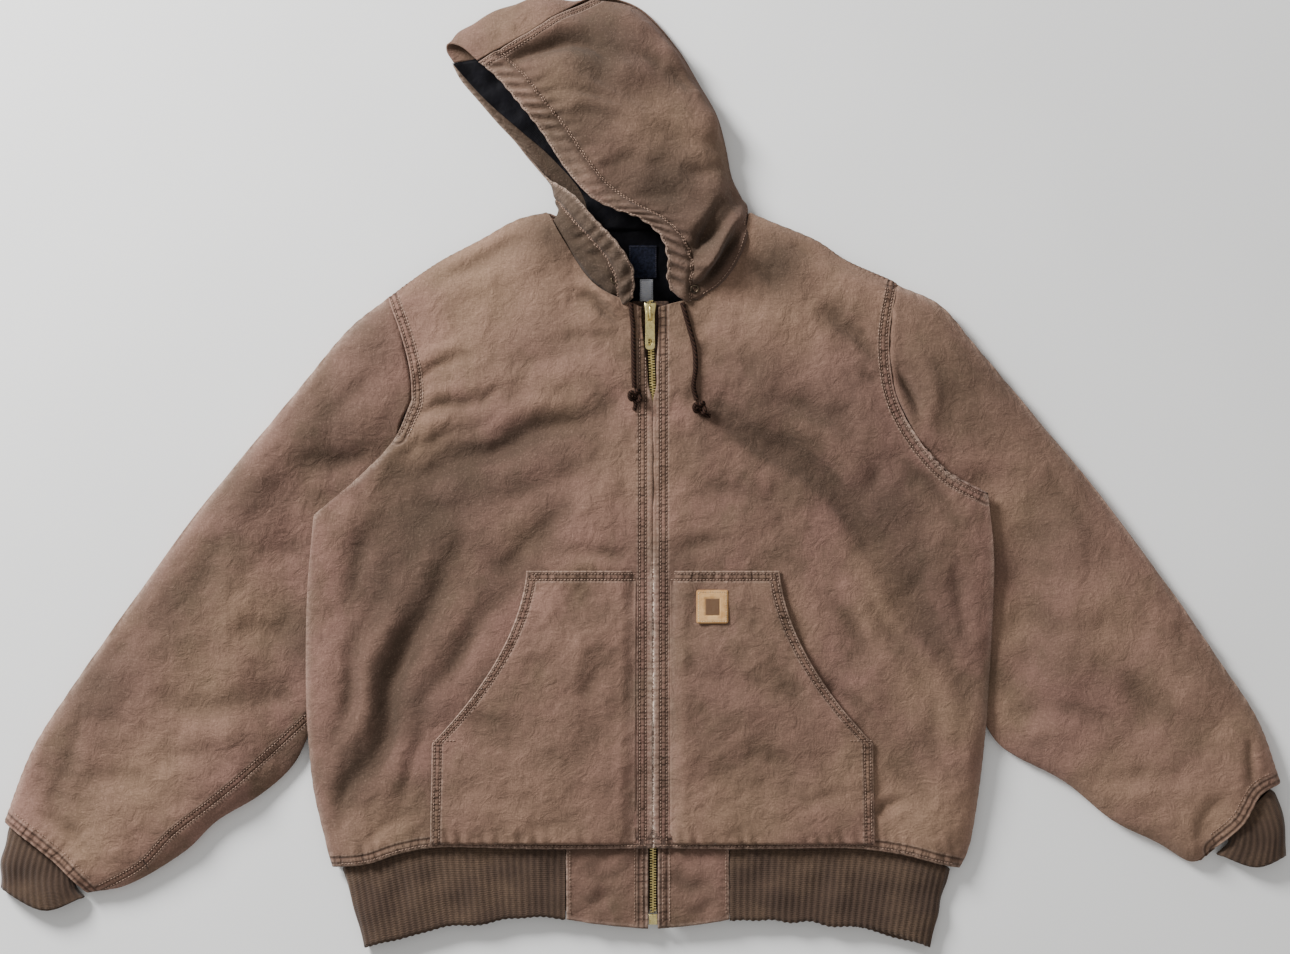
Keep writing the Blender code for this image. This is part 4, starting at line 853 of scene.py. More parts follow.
def sleeves(looks):
    """The two sleeves, flattened tubes pressed down where the fronts fold over them."""
    for side in ("right", "left"):
        ends, back, cuff, top, low = {
            "right": (RIGHT_SLEEVE_END, RIGHT_BACK_ARMHOLE, RIGHT_CUFF_EDGE, RIGHT_TOP_EDGE,
                      RIGHT_LOWER_EDGE),
            "left": (LEFT_SLEEVE_END, LEFT_BACK_ARMHOLE, LEFT_CUFF_EDGE, LEFT_TOP_EDGE,
                     LEFT_LOWER_EDGE)}[side]
        sign = SIGN[side]
        over = waved(np.linspace(0, 1, 90), 0.75)
        under = waved(np.linspace(1, 0, 30)[1:-1], 0.8)
        along = crowded(150, 0.2, 0.3)
        upper = patch(path(ends), path(cuff), path(top), path(low), over, along)
        lower = patch(path(back), path(cuff), path(top), path(low), under, along)
        folds = RIGHT_SLEEVE_CREASES if side == "right" else LEFT_SLEEVE_CREASES
        folded = [upper_edge(side), lower_edge(side)]
        relief, shade = upper_relief(upper, folds, folded, 23 if sign < 0 else 29)
        relief *= ease(0, 26, nearest(upper, side_edge(side))[0]) * 0.7 + 0.3
        cuff_distance, cuff_along = seam_marks(upper, [path(cuff)])
        drawn = 2.0 * gathers(cuff_along, 11.0, 41) * bell(cuff_distance, 12.0)
        drawn *= ease(0, 9, np.minimum(*[nearest(upper, edge)[0] for edge in folded]))
        # Cuff puckers deepen the trough mark, for painted shade.
        shade = np.clip(shade - 0.3 * drawn, 0, 1)
        upper = np.dstack([upper, sleeve_height(upper, side) + relief + drawn])
        under_relief = carve(lower, UNDER_CREASES)[0]
        rest = underside(lower, [with_height(top, (EDGE_Z,)), lower_edge(side)])
        lower = np.dstack([lower, rest + np.maximum(-under_relief, 0) * (rest < 0.4)])
        ring = np.concatenate([upper, lower, upper[:, :1]], axis=1)
        inward = path(ends)(0.5) - path(cuff)(0.5)
        ring[0, :, :2] += inward / np.linalg.norm(inward) * 3.0
        ring[0, :, 2] = np.maximum(np.minimum(ring[0, :, 2] - 1.2, 24.0), 0.0)
        blank = np.zeros(lower.shape[:2])
        distance, place = seam_marks(ring, [path(cuff)])
        if side == "right":
            felled = nearest(ring, path(FELLED))[0]
            distance = np.where(felled < np.abs(distance), felled, distance)
        from_top = nearest(ring, upper_edge(side))[0]
        worn = bell(from_top, 5.0) * 0.35
        shade = np.concatenate([shade, blank, shade[:, :1]], axis=1)
        faded_and_lit = (0.1 if side == "right" else 0.4) * bell(from_top - 40, 60.0)
        made = shell(f"sleeve-{side}", ring, SHELL, looks["canvas"], closed=True, flip=side == "right",
                     marks={"seam": distance, "along": place, "worn": worn, "trough": shade,
                            "raised": np.concatenate([relief, blank, relief[:, :1]], axis=1),
                            **tones(ring, TONE_AND_LIGHT_PLACES["sleeve-" + side], faded_and_lit=faded_and_lit)})
        stands_for(made, f"sleeve_{side}")

        rows = [laid_on(upper, beside(path(cuff), -sign * 14.0, start=0.04, end=0.93))]
        if side == "right":
            for offset in (-3.2, 3.2):
                rows.append(laid_on(upper, beside(path(FELLED), offset, start=0.01, end=0.99)))
        stitches(f"sleeve-stitches-{side}", rows, looks["thread"])


def back_panel(looks):
    """The back, flat on the floor and curling up to the seams at its edges."""
    right = joined(path([(-310, -389), (-327, -330), (-329, -290), (-325, -250)]),
                   path([(x + 8, y) for x, y in RIGHT_BACK_ARMHOLE[::-1]]), count=80)
    left = joined(path([(312, -390), (329, -330), (333, -290), (331, -242)]),
                  path([(x - 6, y) for x, y in LEFT_BACK_ARMHOLE[::-1]]), count=80)
    bottom = path([(-310, -389), (-250, -377), (-150, -371), (0, -370), (150, -372), (250, -378),
                   (312, -390)])
    top = joined(path([(-249, 179)] + RIGHT_SHOULDER[-2::-1]), path(BACK_NECK),
                 path(LEFT_SHOULDER[:-1] + [(246, 192)]), count=80)
    plan = patch(bottom, top, right, left, waved(np.linspace(0, 1, 110), 0.7), crowded(110, 0.2, 0.7))
    low = EDGE_Z - 0.15
    edges = [with_height(RIGHT_SHOULDER, (low, low, low, low - 2)),
             with_height(LEFT_SHOULDER, (low, low, low, low - 2)),
             with_height([(-329, -310), (-320, -363), (-313, -390)], (0, low, low)),
             with_height([(332, -310), (326, -363), (315, -391)], (0, low, low))]
    relief, shade = carve(plan, UNDER_CREASES)
    rest = underside(plan, edges)
    inner = ease(0, 24, np.min([nearest(plan, edge)[0] for edge in edges], axis=0))
    points = np.dstack([plan, rest + np.maximum(-relief + 0.5 * rumple(plan, 60, 77), 0) * inner])
    distance, along = seam_marks(plan, [right, left, top, bottom])
    made = shell("back", points, SHELL, looks["canvas"], flip=True,
                 marks={"seam": distance, "along": along, "worn": 0 * rest, "trough": shade,
                        "faded_and_lit": 0.3 + 0 * rest, "raised": -relief})
    stands_for(made, "back")


def knit(name, points, node, looks, closed=False, flip=False):
    """A ribbed knit panel: real ridges and grooves running up its rows."""
    around = distance_along(points, 1).mean(axis=0)
    ridge = np.cos(2 * np.pi * around / RIB_PITCH)[None, :] * np.ones((points.shape[0], 1))
    facing = normals(points)
    facing[:, -1] = facing[:, 0] if closed else facing[:, -1]
    if flip:
        facing = -facing
    high = distance_along(points, 0)
    high = high / high[-1]
    lift = 0.3 * ridge + 0.9 * rumple(points, 44, 51) * np.sin(np.pi * high)
    points = points + facing * lift[..., None]
    points[..., 2] = np.maximum(points[..., 2], 0.0)
    made = shell(name, points, RIB, looks["rib"], closed=closed, flip=flip,
                 marks={"ridge": ridge, "along": np.tile(around, (points.shape[0], 1)), "up": high})
    stands_for(made, node)


def waistband(looks):
    """The rib waistband, a C from beside one waist tab, round under the jacket, to the other."""
    around = 1060.0

    def station(x_top, x_low, sign, side_top):
        """The top and the lower edge of the band at one place on the front."""
        hem = path(RIGHT_HEM if sign < 0 else LEFT_HEM)(x_top / (313.0 + sign))
        low = path([(-79, -444), (-105, -439), (-165, -446), (-212, -454), (-281, -470)] if sign < 0 else
                   [(85, -442), (145, -444), (198, -449), (250, -456), (286, -470)])
        start = 79.0 if sign < 0 else 85.0
        y = low(np.clip((x_low - start) / (284.0 - start), 0, 1))[1]
        z = EDGE_Z - 1 + 10.0 * rise(side_top - x_top, 34.0)
        top = (sign * x_top, hem[1] + TUCK * ease(2, 24, side_top - x_top) - 1.0, z)
        return top, (sign * x_low, y, z - 1.5 * ease(0, 60, side_top - x_top))

    def front(sign):
        """The band's places from beside the waist tab to the side."""
        start, side_top, side_low = {-1: (79.6, 303.0, 281.0), 1: (84.6, 305.0, 286.0)}[sign]
        return [station(start + (side_top - start) * t, start + (side_low - start) * t, sign, side_top)
                for t in (0, 0.2, 0.4, 0.6, 0.78, 0.9, 0.965, 0.99)]

    under = [((-303, -392, 5), (-281, -470, 5)), ((-301, -393, 2), (-279, -469, 2)),
             ((-294, -392, 0), (-272, -468, 0))]
    under += [((288 * t, -373 - 15 * t * t, 0), (270.7 * t, -434 - 30 * t * t, 0))
              for t in np.linspace(-0.8, 0.8, 9)]
    under += [((296, -393, 0), (277, -468, 0)), ((303, -394, 2), (284, -469, 2)),
              ((305, -393, 5), (286, -470, 5))]
    stations = front(-1) + under + front(1)[::-1]
    top, low = path([a for a, _ in stations]), path([b for _, b in stations])
    t = np.linspace(0, 1, int(8 * around / RIB_PITCH))
    up = np.linspace(0, 1, 18)[:, None, None]
    hem = low(t)
    hem[:, 1] += 1.1 * rumple(hem * (1, 0, 0), 40, 57) + 0.5 * np.cos(2 * np.pi * t * around / RIB_PITCH)
    points = top(t)[None] * (1 - up) + hem[None] * up
    knit("waistband-rib", points, "waistband_rib", looks)


def cuffs(looks):
    """The rib cuffs, flattened tubes reaching out of the sleeves."""
    for side in ("right", "left"):
        rows = {"right": [((-628, -344), (-604, -364), (-572, -392), 3.2, 12.0),
                          ((-637, -352), (-614, -371), (-569, -407), 3.2, 12.5),
                          ((-643, -380), (-608, -402), (-566, -414), 0.0, 16.0),
                          ((-645, -411), (-601, -433), (-561, -420), 0.0, 15.0)],
                "left": [((625, -312), (606, -330), (580, -356), 3.2, 11.5),
                         ((632, -319), (614, -336), (584, -364), 3.2, 12.0),
                         ((639, -345), (616, -364), (578, -371), 0.0, 15.5),
                         ((642, -379), (610, -390), (572, -377), 0.0, 14.0)]}[side]
        rings = []
        for high, middle, low, floor, thick in rows:
            across = path([high, middle, low])
            over = waved(np.linspace(0, 1, 120), 0.7)
            under = over[::-1][1:-1]
            span = np.linalg.norm(np.subtract(high, low))
            mid = floor + thick * 0.35
            up = mid + (floor + thick - mid) * rise(np.minimum(over, 1 - over) * span, 18.0)
            down = floor + (mid - floor) * (1 - rise(np.minimum(under, 1 - under) * span, 10.0))
            ring = np.concatenate([np.column_stack([across(over), up]),
                                   np.column_stack([across(under), down])])
            closed = np.vstack([ring, ring[:1]])
            around = lengths(closed)
            rings.append(read(np.linspace(0, around[-1], 4 * 56 + 1), around, closed))
        points = smooth_rows(np.array(rings), 26)
        knit(f"cuff-{side}", points, f"cuff_{side}", looks, closed=True, flip=side == "right")


def waist_tabs(looks):
    """The canvas tabs that close the waistband beside the zip."""
    for side in ("right", "left"):
        inner, outer_top, outer_low = {"right": (3.0, -78.9, -78.4), "left": (13.0, 83.9, 84.4)}[side]
        v, u = np.meshgrid(crowded(40), crowded(44), indexing="ij")
        outer = outer_top + (outer_low - outer_top) * v
        x, y = inner + (outer - inner) * u, -363 - (88 - 9 * u**1.5) * v
        plan = np.dstack([x, y])
        edge = np.minimum(np.abs(x - outer), np.minimum(np.abs(y + 451 - 9 * u**1.5), np.abs(x - inner)))
        drawn = 0.7 * gathers(y, 8.0, 61) * bell(np.abs(x - outer) - 4, 6)
        drawn += 0.7 * gathers(x, 9.0, 62) * bell(y + 448, 8)
        own, shade = carve(plan, TAB_CREASES)
        z = 15.6 - 1.5 * v + drawn + 0.7 * own + 0.5 * rumple(plan, 30, 63)
        worn = bell(edge, 2.4) * 0.5
        # Puckers deepen the trough mark, for painted shade; the tab gets darker towards its top as a painted
        # shadow under the hem's overhang.
        marks = {"seam": np.abs(x - inner) - SEAM_IN, "along": y, "worn": worn,
                 "trough": np.clip(shade - 0.4 * drawn, 0, 1), "faded_and_lit": 0.1 + 0 * x, "raised": own,
                 "dull_and_shade": 0.1 + 0.35 * ease(-385, -368, y)}
        points = np.dstack([plan, z])
        made = shell(f"waist-tab-{side}", points, SHELL, looks["canvas"], flip=side == "left", marks=marks)
        stands_for(made, f"waist_tab_{side}")
        rows = [points[3:-3, column] + (0, 0, STITCH_LIFT) for column in (3, 7, -3)]
        stitches(f"tab-stitches-{side}", rows, looks["thread"])


def hood_piece(name, node, points, folds, looks, flip, lip=None, gather=4.4,
               seed=70, from_seam=None, dull_and_shade=0.36):
    """A hood panel, creased along its own surface and drawn up in gathers by the cord's casing at its lip.

    lip is how wide the casing is, in millimetres, and gather how deep its puckers are.
    """
    facing = normals(points)
    if flip:
        facing = -facing
    moved, shade = carve(points, folds)
    moved = 1.35 * moved + 1.0 * rumple(points, 60, seed) + 0.3 * rumple(points, 22, seed + 1)
    high = points[..., 2]
    from_lip = distance_along(points, 1)
    moved = moved * (ease(0, 14, from_lip[:, -1:] - from_lip) * ease(4, 20, high))
    along = distance_along(points, 0)[:, :1] + 0 * from_lip
    worn = np.zeros_like(moved)
    seam = np.full_like(moved, 40.0)
    if lip:
        inside = np.clip(from_lip / lip, 0, 1)
        drawn = gather * gathers(along + 0.35 * from_lip, GATHER_PITCH, seed + 5)
        drawn = drawn * np.sin(np.pi * inside**0.8) ** 0.6 * (inside < 1)
        beyond = 2.4 * gathers(along + 3, GATHER_PITCH, seed + 5)
        beyond = beyond * bell(from_lip - lip, 15.0) * (inside >= 1)
        casing = -2.2 * bell(from_lip - lip, 3.2)
        live = ease(2, 14, high)
        moved += (drawn + beyond + casing) * live + 1.8 * np.sin(np.pi * inside) * live
        # Gathers and the casing's groove deepen the trough mark, for painted shade.
        shade = np.clip(shade - 0.4 * (drawn + beyond) - 0.4 * casing, 0, 1)
        # The lip's edge is worn paler; the proud crests of the gathers get a little painted highlight.
        proud = drawn > -0.5 * gather
        worn = bell(from_lip, 3.0) * 0.5 + 0.1 * bell(inside - 0.5, 0.3) * proud
    if from_seam is not None:
        seam = np.minimum(seam, from_seam - SEAM_IN)
    tone = tones(points, TONE_AND_LIGHT_PLACES[name], dull_and_shade=dull_and_shade, faded_and_lit=0.1)
    points = points + facing * moved[..., None]
    points[..., 2] = np.maximum(points[..., 2], 0.0)
    if lip:
        tuck = points[:, -1] - points[:, -3]
        tuck = points[:, -1] + 4.0 * tuck / np.linalg.norm(tuck, axis=1)[:, None] - (0, 0, 1.5)
        tuck[:, 2] = np.maximum(tuck[:, 2], 0.0)
        points[:, -1] = np.where(high[:, -1:] > 20, tuck, points[:, -1])
    made = shell(name, points, SHELL, looks["canvas"], flip=flip,
                 marks={"seam": seam, "along": along, "worn": worn, "trough": shade, "raised": moved, **tone})
    stands_for(made, node)
    return points


def line_at(points, from_lip, lift=0.35):
    """The line across a hood panel's rows this far in from its lip."""
    inward = distance_along(points, 1)
    line = np.array([read(from_lip, inward[row], points[row]) for row in range(len(points))])
    line[:, 2] += lift
    return line


def hood(looks):
    """The hood: the upper side panel, the collar and lower side panel, and the strip over the crown."""
    upper = smooth_rows(loft(HOOD_LEFT, 96), 150)
    up = distance_along(upper, 0)
    upper = hood_piece("hood-left", "hood_left", upper, HOOD_CREASES, looks, False, lip=24.0,
                       seed=70, from_seam=up[-1:] - up)
    lower = smooth_rows(loft(HOOD_RIGHT, 70), 130)
    lower = hood_piece("hood-right", "hood_right", lower, COLLAR_CREASES, looks, True, lip=20.0,
                       gather=3.4, seed=80, dull_and_shade=1.0)
    strip = smooth_rows(loft(HOOD_CENTRE, 44), 120)
    hood_piece("hood-centre", "hood_centre", strip, [], looks, True, seed=90)
    rows = [line_at(upper, 24.0), line_at(upper, 26.2), line_at(upper, 1.6)]
    down = distance_along(upper, 0)
    down = down[-1:] - down
    for inset in (SEAM_IN - ROW_APART, SEAM_IN + ROW_APART):
        across = [read(inset, down[::-1, column], upper[::-1, column]) for column in range(2, 94)]
        rows.append(np.array(across) + (0, 0, 0.35))
    rows += [line_at(lower, 20.0)[:56], line_at(lower, 22.0)[:56], line_at(lower, 1.6)[:70]]
    in_from_lip = distance_along(upper, 1)
    neck = [read(in_from_lip[row, -1] - 4.0, in_from_lip[row], upper[row]) for row in range(6, 52)]
    rows.append(np.array(neck) + (0, 0, 0.4))
    stitches("hood-stitches", rows, looks["thread"])
    return upper, lower


def rectangle(left, low, right, high, z):
    """The corners of a flat rectangle, back to the first."""
    return [(left, low, z), (left, high, z), (right, high, z), (right, low, z), (left, low, z)]


def linings(looks):
    """The dark lining inside the hood and neck, and the two plain labels sewn to it."""
    lip = [(-54, 247), (-64, 285), (-96, 322), (-126, 348), (-160, 378), (-193, 414)]
    inside = [(60, 248), (35, 285), (5, 318), (-35, 350), (-80, 382), (-138, 425)]
    top = CANVAS + LAID + LINING
    t = np.linspace(0, 1, 60)
    for name, near, far, height, flat, area in (
            ("hood-lining", lip, inside, top + HOOD_LIFT, (0.12, 0.22), 0.018),
            ("neck-lining", [(-50, 150), (-58, 205), (-44, 251)], [(60, 150), (64, 205), (40, 251)], top,
             (0.12, 0.11), None)):
        plan = patch(path([near[0], far[0]]), path([near[-1], far[-1]]), path(near), path(far), t, t)
        points = np.dstack([plan, height + 0.5 * rumple(plan, 26, 91)])
        made = shell(name, points, 0.9, looks["lining"])
        stands_for(made, name.replace("-", "_"))
    z = top + LAID + 0.9
    for name, node, (left, low), (right, high), look in (
            ("brand-label", "brand_label", (-16, 199), (12, 232), "navy_label"),
            ("size-label", "size_label", (-5, 174), (8, 198), "pale_label")):
        x, y = np.meshgrid(np.linspace(left, right, 16), np.linspace(low, high, 16))
        bow = 0.35 * np.sin(np.pi * (x - left) / (right - left))
        made = shell(name, np.dstack([x, y, z + bow]), 0.7, looks[look])
        stands_for(made, node)
        edge = rectangle(left + 1, low + 1, right - 1, high - 1, z + STITCH_LIFT)
        stitches(f"{name}-stitches", [edge], looks["dark_thread"], pitch=2.0, length=1.4, width=0.5)


def badge(looks):
    """The leather patch: a plain framed rectangle pressed into it, and its stitched border."""
    left, low, right, high = 50.5, -145.5, 83.0, -111.5
    x, y = np.meshgrid(np.linspace(left, right, 60), np.linspace(low, high, 60))
    plan = np.dstack([x, y])
    mid = np.array([(left + right) / 2, (low + high) / 2])
    across, up = np.abs(x - mid[0]), np.abs(y - mid[1])
    edge = np.minimum((right - left) / 2 - across, (high - low) / 2 - up)
    corner = np.hypot(np.maximum(across - 13.2, 0), np.maximum(up - 14.0, 0))
    x = mid[0] + (x - mid[0]) * (1 - 0.05 * ease(2.4, 4.2, corner))
    y = mid[1] + (y - mid[1]) * (1 - 0.05 * ease(2.4, 4.2, corner))
    frame_line = np.maximum(across / 7.2, up / 8.6)
    pressed = ease(1.0, 0.94, frame_line)
    groove = bell(frame_line - 1.0, 0.07)
    base = front_height(plan, "left") + CANVAS + 1.0 + 1.8 + LAID
    z = base + 1.0 * ease(0, 2.0, edge) - 0.35 * groove - 0.25 * bell(edge - 2.6, 0.7)
    made = shell("leather-patch", np.dstack([x, y, z]), LINING, looks["leather"],
                 marks={"pressed": pressed, "worn": bell(edge, 1.6)})
    stands_for(made, "leather_patch")
    inset = 2.6
    line = rectangle(left + inset, low + inset, right - inset, high - inset, float(z.max()) - 0.1)
    stitches("patch-stitches", [line], looks["pale_thread"], pitch=2.4, length=1.8, width=0.6)


def centre_line(y):
    """The zip's centre: how far across it is, and its height, at these places along it."""
    middle = np.dstack([np.full_like(y, CENTRE_X), np.maximum(y, -369.0)])
    z = fullness(middle)[0]
    z = z - (z - 13.0) * ease(-280, -345, y)
    return CENTRE_X - 3.0 * ease(60, 170, y), z


def zip_strip(inner, outer, lift, count=160, low=ZIP_BOTTOM, high=ZIP_TOP - 2):
    """A strip along the zip, this far below the fronts' outer side."""
    y = np.linspace(low, high, count)
    x, z = centre_line(y)
    u = np.linspace(inner, outer, 12)[None, :]
    return np.dstack([x[:, None] + u, y[:, None] + 0 * u, (z - lift)[:, None] + 0 * u])


def zip_parts(looks):
    """Tapes, two rows of meshing brass teeth, the slider, its hinged pull and the end box."""
    half = TEETH_WIDTH / 2
    below = CANVAS + SEAM
    for side, inner, outer in (("right", -half - TAPE_WIDTH, -half - SEAM),
                               ("left", half + SEAM, half + TAPE_WIDTH)):
        made = shell(f"zip-tape-{side}", zip_strip(inner, outer, below), LINING, looks["tape"])
        stands_for(made, f"zip_tape_{side}")

    # One tooth: a cupped bar gripping the tape's beaded edge, its nose reaching past the middle
    tooth = bmesh.new()
    bmesh.ops.create_cube(tooth, size=1.0)
    bmesh.ops.scale(tooth, vec=(4.2, 1.45, 2.3), verts=tooth.verts)
    for vert in tooth.verts:
        if vert.co.x > 0:
            vert.co.y *= 0.8
            vert.co.z *= 0.86
    bmesh.ops.bevel(tooth, geom=tooth.edges[:], offset=0.28, segments=1, affect="EDGES")
    shape = np.array([tuple(v.co) for v in tooth.verts])
    sides = [[v.index for v in face.verts] for face in tooth.faces]
    tooth.free()
    points, faces = [], []
    for sign, start in ((-1, 0.0), (1, TOOTH_PITCH / 2)):
        y = np.arange(ZIP_BOTTOM + 1.5 + start, ZIP_TOP - 1.5, TOOTH_PITCH)
        x, z = centre_line(y)
        for place_x, place_y, place_z in zip(x, y, z):
            mirrored = shape * (-sign, 1, 1)
            first = sum(map(len, points))
            points.append(mirrored + (place_x + sign * 1.15, place_y, place_z - below - 0.1))
            faces += [[first + k for k in (side if sign < 0 else side[::-1])] for side in sides]
    mesh = bpy.data.meshes.new("zip-teeth")
    mesh.from_pydata(at(np.concatenate(points)).tolist(), [], faces)
    made = show("zip-teeth", mesh, looks["brass"])
    stands_for(made, "zip_teeth")
    shell("zip-bead", zip_strip(-1.6, 1.6, below + 0.9), 0.8, looks["tape"])

    # The slider: a body narrow at its tail, its edges rounded, under a bridge for the pull
    body = bmesh.new()
    bmesh.ops.create_grid(body, x_segments=6, y_segments=10, size=0.5)
    for vert in body.verts:
        u, v = vert.co.x * 2, vert.co.y * 2
        wide = 5.2 + 1.3 * float(ease(-0.2, 0.9, v))
        vert.co = (u * wide, v * 11.0 - 1.4 * (1 - abs(u)) * max(v, 0) ** 6,
                   SLIDER_TOP - 0.7 * abs(u) ** 3 - 0.5 * abs(v) ** 5)
        vert.co.x += SLIDER_X
        vert.co.y += SLIDER_Y
    for vert in body.verts:
        vert.co = at(vert.co)
    mesh = bpy.data.meshes.new("zip-slider")
    body.to_mesh(mesh)
    body.free()
    mesh.shade_smooth()
    made = show("zip-slider", mesh, looks["brass"])
    thick = made.modifiers.new("Wall", "SOLIDIFY")
    thick.thickness = 0.0028
    thick.offset = -1.0
    smooth = made.modifiers.new("Smooth", "SUBSURF")
    smooth.levels = smooth.render_levels = 1
    stands_for(made, "zip_slider")
    bridge = [(SLIDER_X, SLIDER_Y + y, SLIDER_TOP + z) for y, z in
              ((-6.0, -0.6), (-6.2, 2.2), (-4.8, 4.0), (0, 4.5), (4.8, 4.0), (6.2, 2.2), (6.0, -0.6))]
    wire("slider-bridge", bridge, 1.15, looks["brass"])

    # The pull: a long tab with a slot at its head, turned over the bridge
    outline = bpy.data.curves.new("zip-pull", "CURVE")
    outline.dimensions = "2D"
    outline.fill_mode = "BOTH"
    outline.extrude = 0.0005
    outline.bevel_depth = 0.0003
    outline.bevel_resolution = 2
    for ring in (PULL_OUTLINE, PULL_SLOT, PULL_HOLE):
        spline = outline.splines.new("POLY")
        loop = path(ring + ring[:1])(np.linspace(0, 1, 65)[:-1])
        spline.points.add(len(loop) - 1)
        for point, (x, y) in zip(spline.points, loop):
            point.co = (x * 0.001, y * 0.001, 0, 1)
        spline.use_cyclic_u = True
    made = bpy.data.objects.new("zip-pull", outline)
    made.location = at((SLIDER_X, SLIDER_Y, PIVOT_Z))
    outline.materials.append(looks["brass"])
    frame_scene.collection.objects.link(made)
    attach(made, "pull")
    stands_for(made, "zip_pull")

    x, y = np.meshgrid(np.linspace(-1, 1, 14), np.linspace(-1, 1, 14))
    crown = 15.0 - 0.8 * np.maximum(np.abs(x), np.abs(y)) ** 6
    block = np.dstack([CENTRE_X + 4.4 * x, -441.75 + 5.2 * y, crown])
    made = shell("zip-end-box", block, 3.6, looks["brass"])
    stands_for(made, "zip_end_box")


def wire(name, points, radius, look, body="jacket", samples=40):
    """A round wire or cord on a smooth curve through the points, in millimetres."""
    smooth = at(path(points)(np.linspace(0, 1, samples)))
    curve = bpy.data.curves.new(name, "CURVE")
    curve.dimensions = "3D"
    curve.bevel_depth = radius * 0.001
    curve.bevel_resolution = 4
    curve.use_fill_caps = True
    spline = curve.splines.new("POLY")
    spline.points.add(len(smooth) - 1)
    for point, place in zip(spline.points, smooth):
        point.co = (*place, 1.0)
    return show(name, curve, look, body)


def cords(looks):
    """The drawcord's two free ends lying on the fronts, each tied in an overhand knot."""
    for side, route, end in (("right", RIGHT_CORD, RIGHT_KNOT), ("left", LEFT_CORD, LEFT_KNOT)):
        plan = path(route)(np.linspace(0, 1, 24))
        z = front_surface(plan[None], side)[0] + CORD / 2 + 0.3
        points = np.column_stack([plan, z])
        made = wire(f"drawcord-{side}", points, CORD / 2, looks["cord"], samples=60)
        centre = np.array([*end, float(front_surface(np.array([[end]], float), side)[0, 0]) + 4.6])
        t = np.linspace(0, 2 * np.pi * 1.42, 60)
        loop = np.column_stack([np.sin(t) * (3.4 + 0.8 * np.cos(1.5 * t)), np.sin(2 * t) * 2.4 - 0.8 * t / 2,
                                1.7 * np.cos(1.5 * t)])
        loop = 1.3 * loop + (0, 2.4, 0.6)
        tied = wire(f"drawcord-knot-{side}", centre + loop, 2.3, looks["cord"])
        tail = {"right": [(0, -4, -1), (0.6, -9, -2.2), (-0.8, -14, -2.6)],
                "left": [(0, -3, -1), (5, -7, -2), (11, -8, -2.6)]}[side]
        end_piece = wire(f"drawcord-end-{side}", centre + np.array(tail), 2.1, looks["cord"])
        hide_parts(f"drawcord_{side}")
        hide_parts(f"drawcord_knot_{side}")


def eyelets(looks, upper, lower):
    """The brass eyelets where the cord leaves the collar."""
    for name, points, row, inward in (("right", lower, 10, 23.0), ("left", upper, 7, 28.0)):
        line = distance_along(points, 1)[row]
        centre = read(inward, line, points[row])
        facing = normals(points)[row, int(np.searchsorted(line, inward))]
        if facing[2] < 0:
            facing = -facing
        bpy.ops.mesh.primitive_torus_add(major_radius=0.0036, minor_radius=0.0010, major_segments=32,
                                         minor_segments=10)
        made = bpy.context.object
        made.name = f"eyelet-{name}"
        made.data.shade_smooth()
        made.data.materials.append(looks["dark_metal"])
        made.location = at(centre + facing * 0.4)
        made.rotation_euler = Vector(facing).to_track_quat("Z", "Y").to_euler()
        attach(made, "jacket")


def linear(red, green, blue):
    """A colour given as 0..255 screen values, as Blender's linear one."""
    made = []
    for value in (red, green, blue):
        v = value / 255
        made.append(v / 12.92 if v <= 0.04045 else ((v + 0.055) / 1.055) ** 2.4)
    return (*made, 1.0)


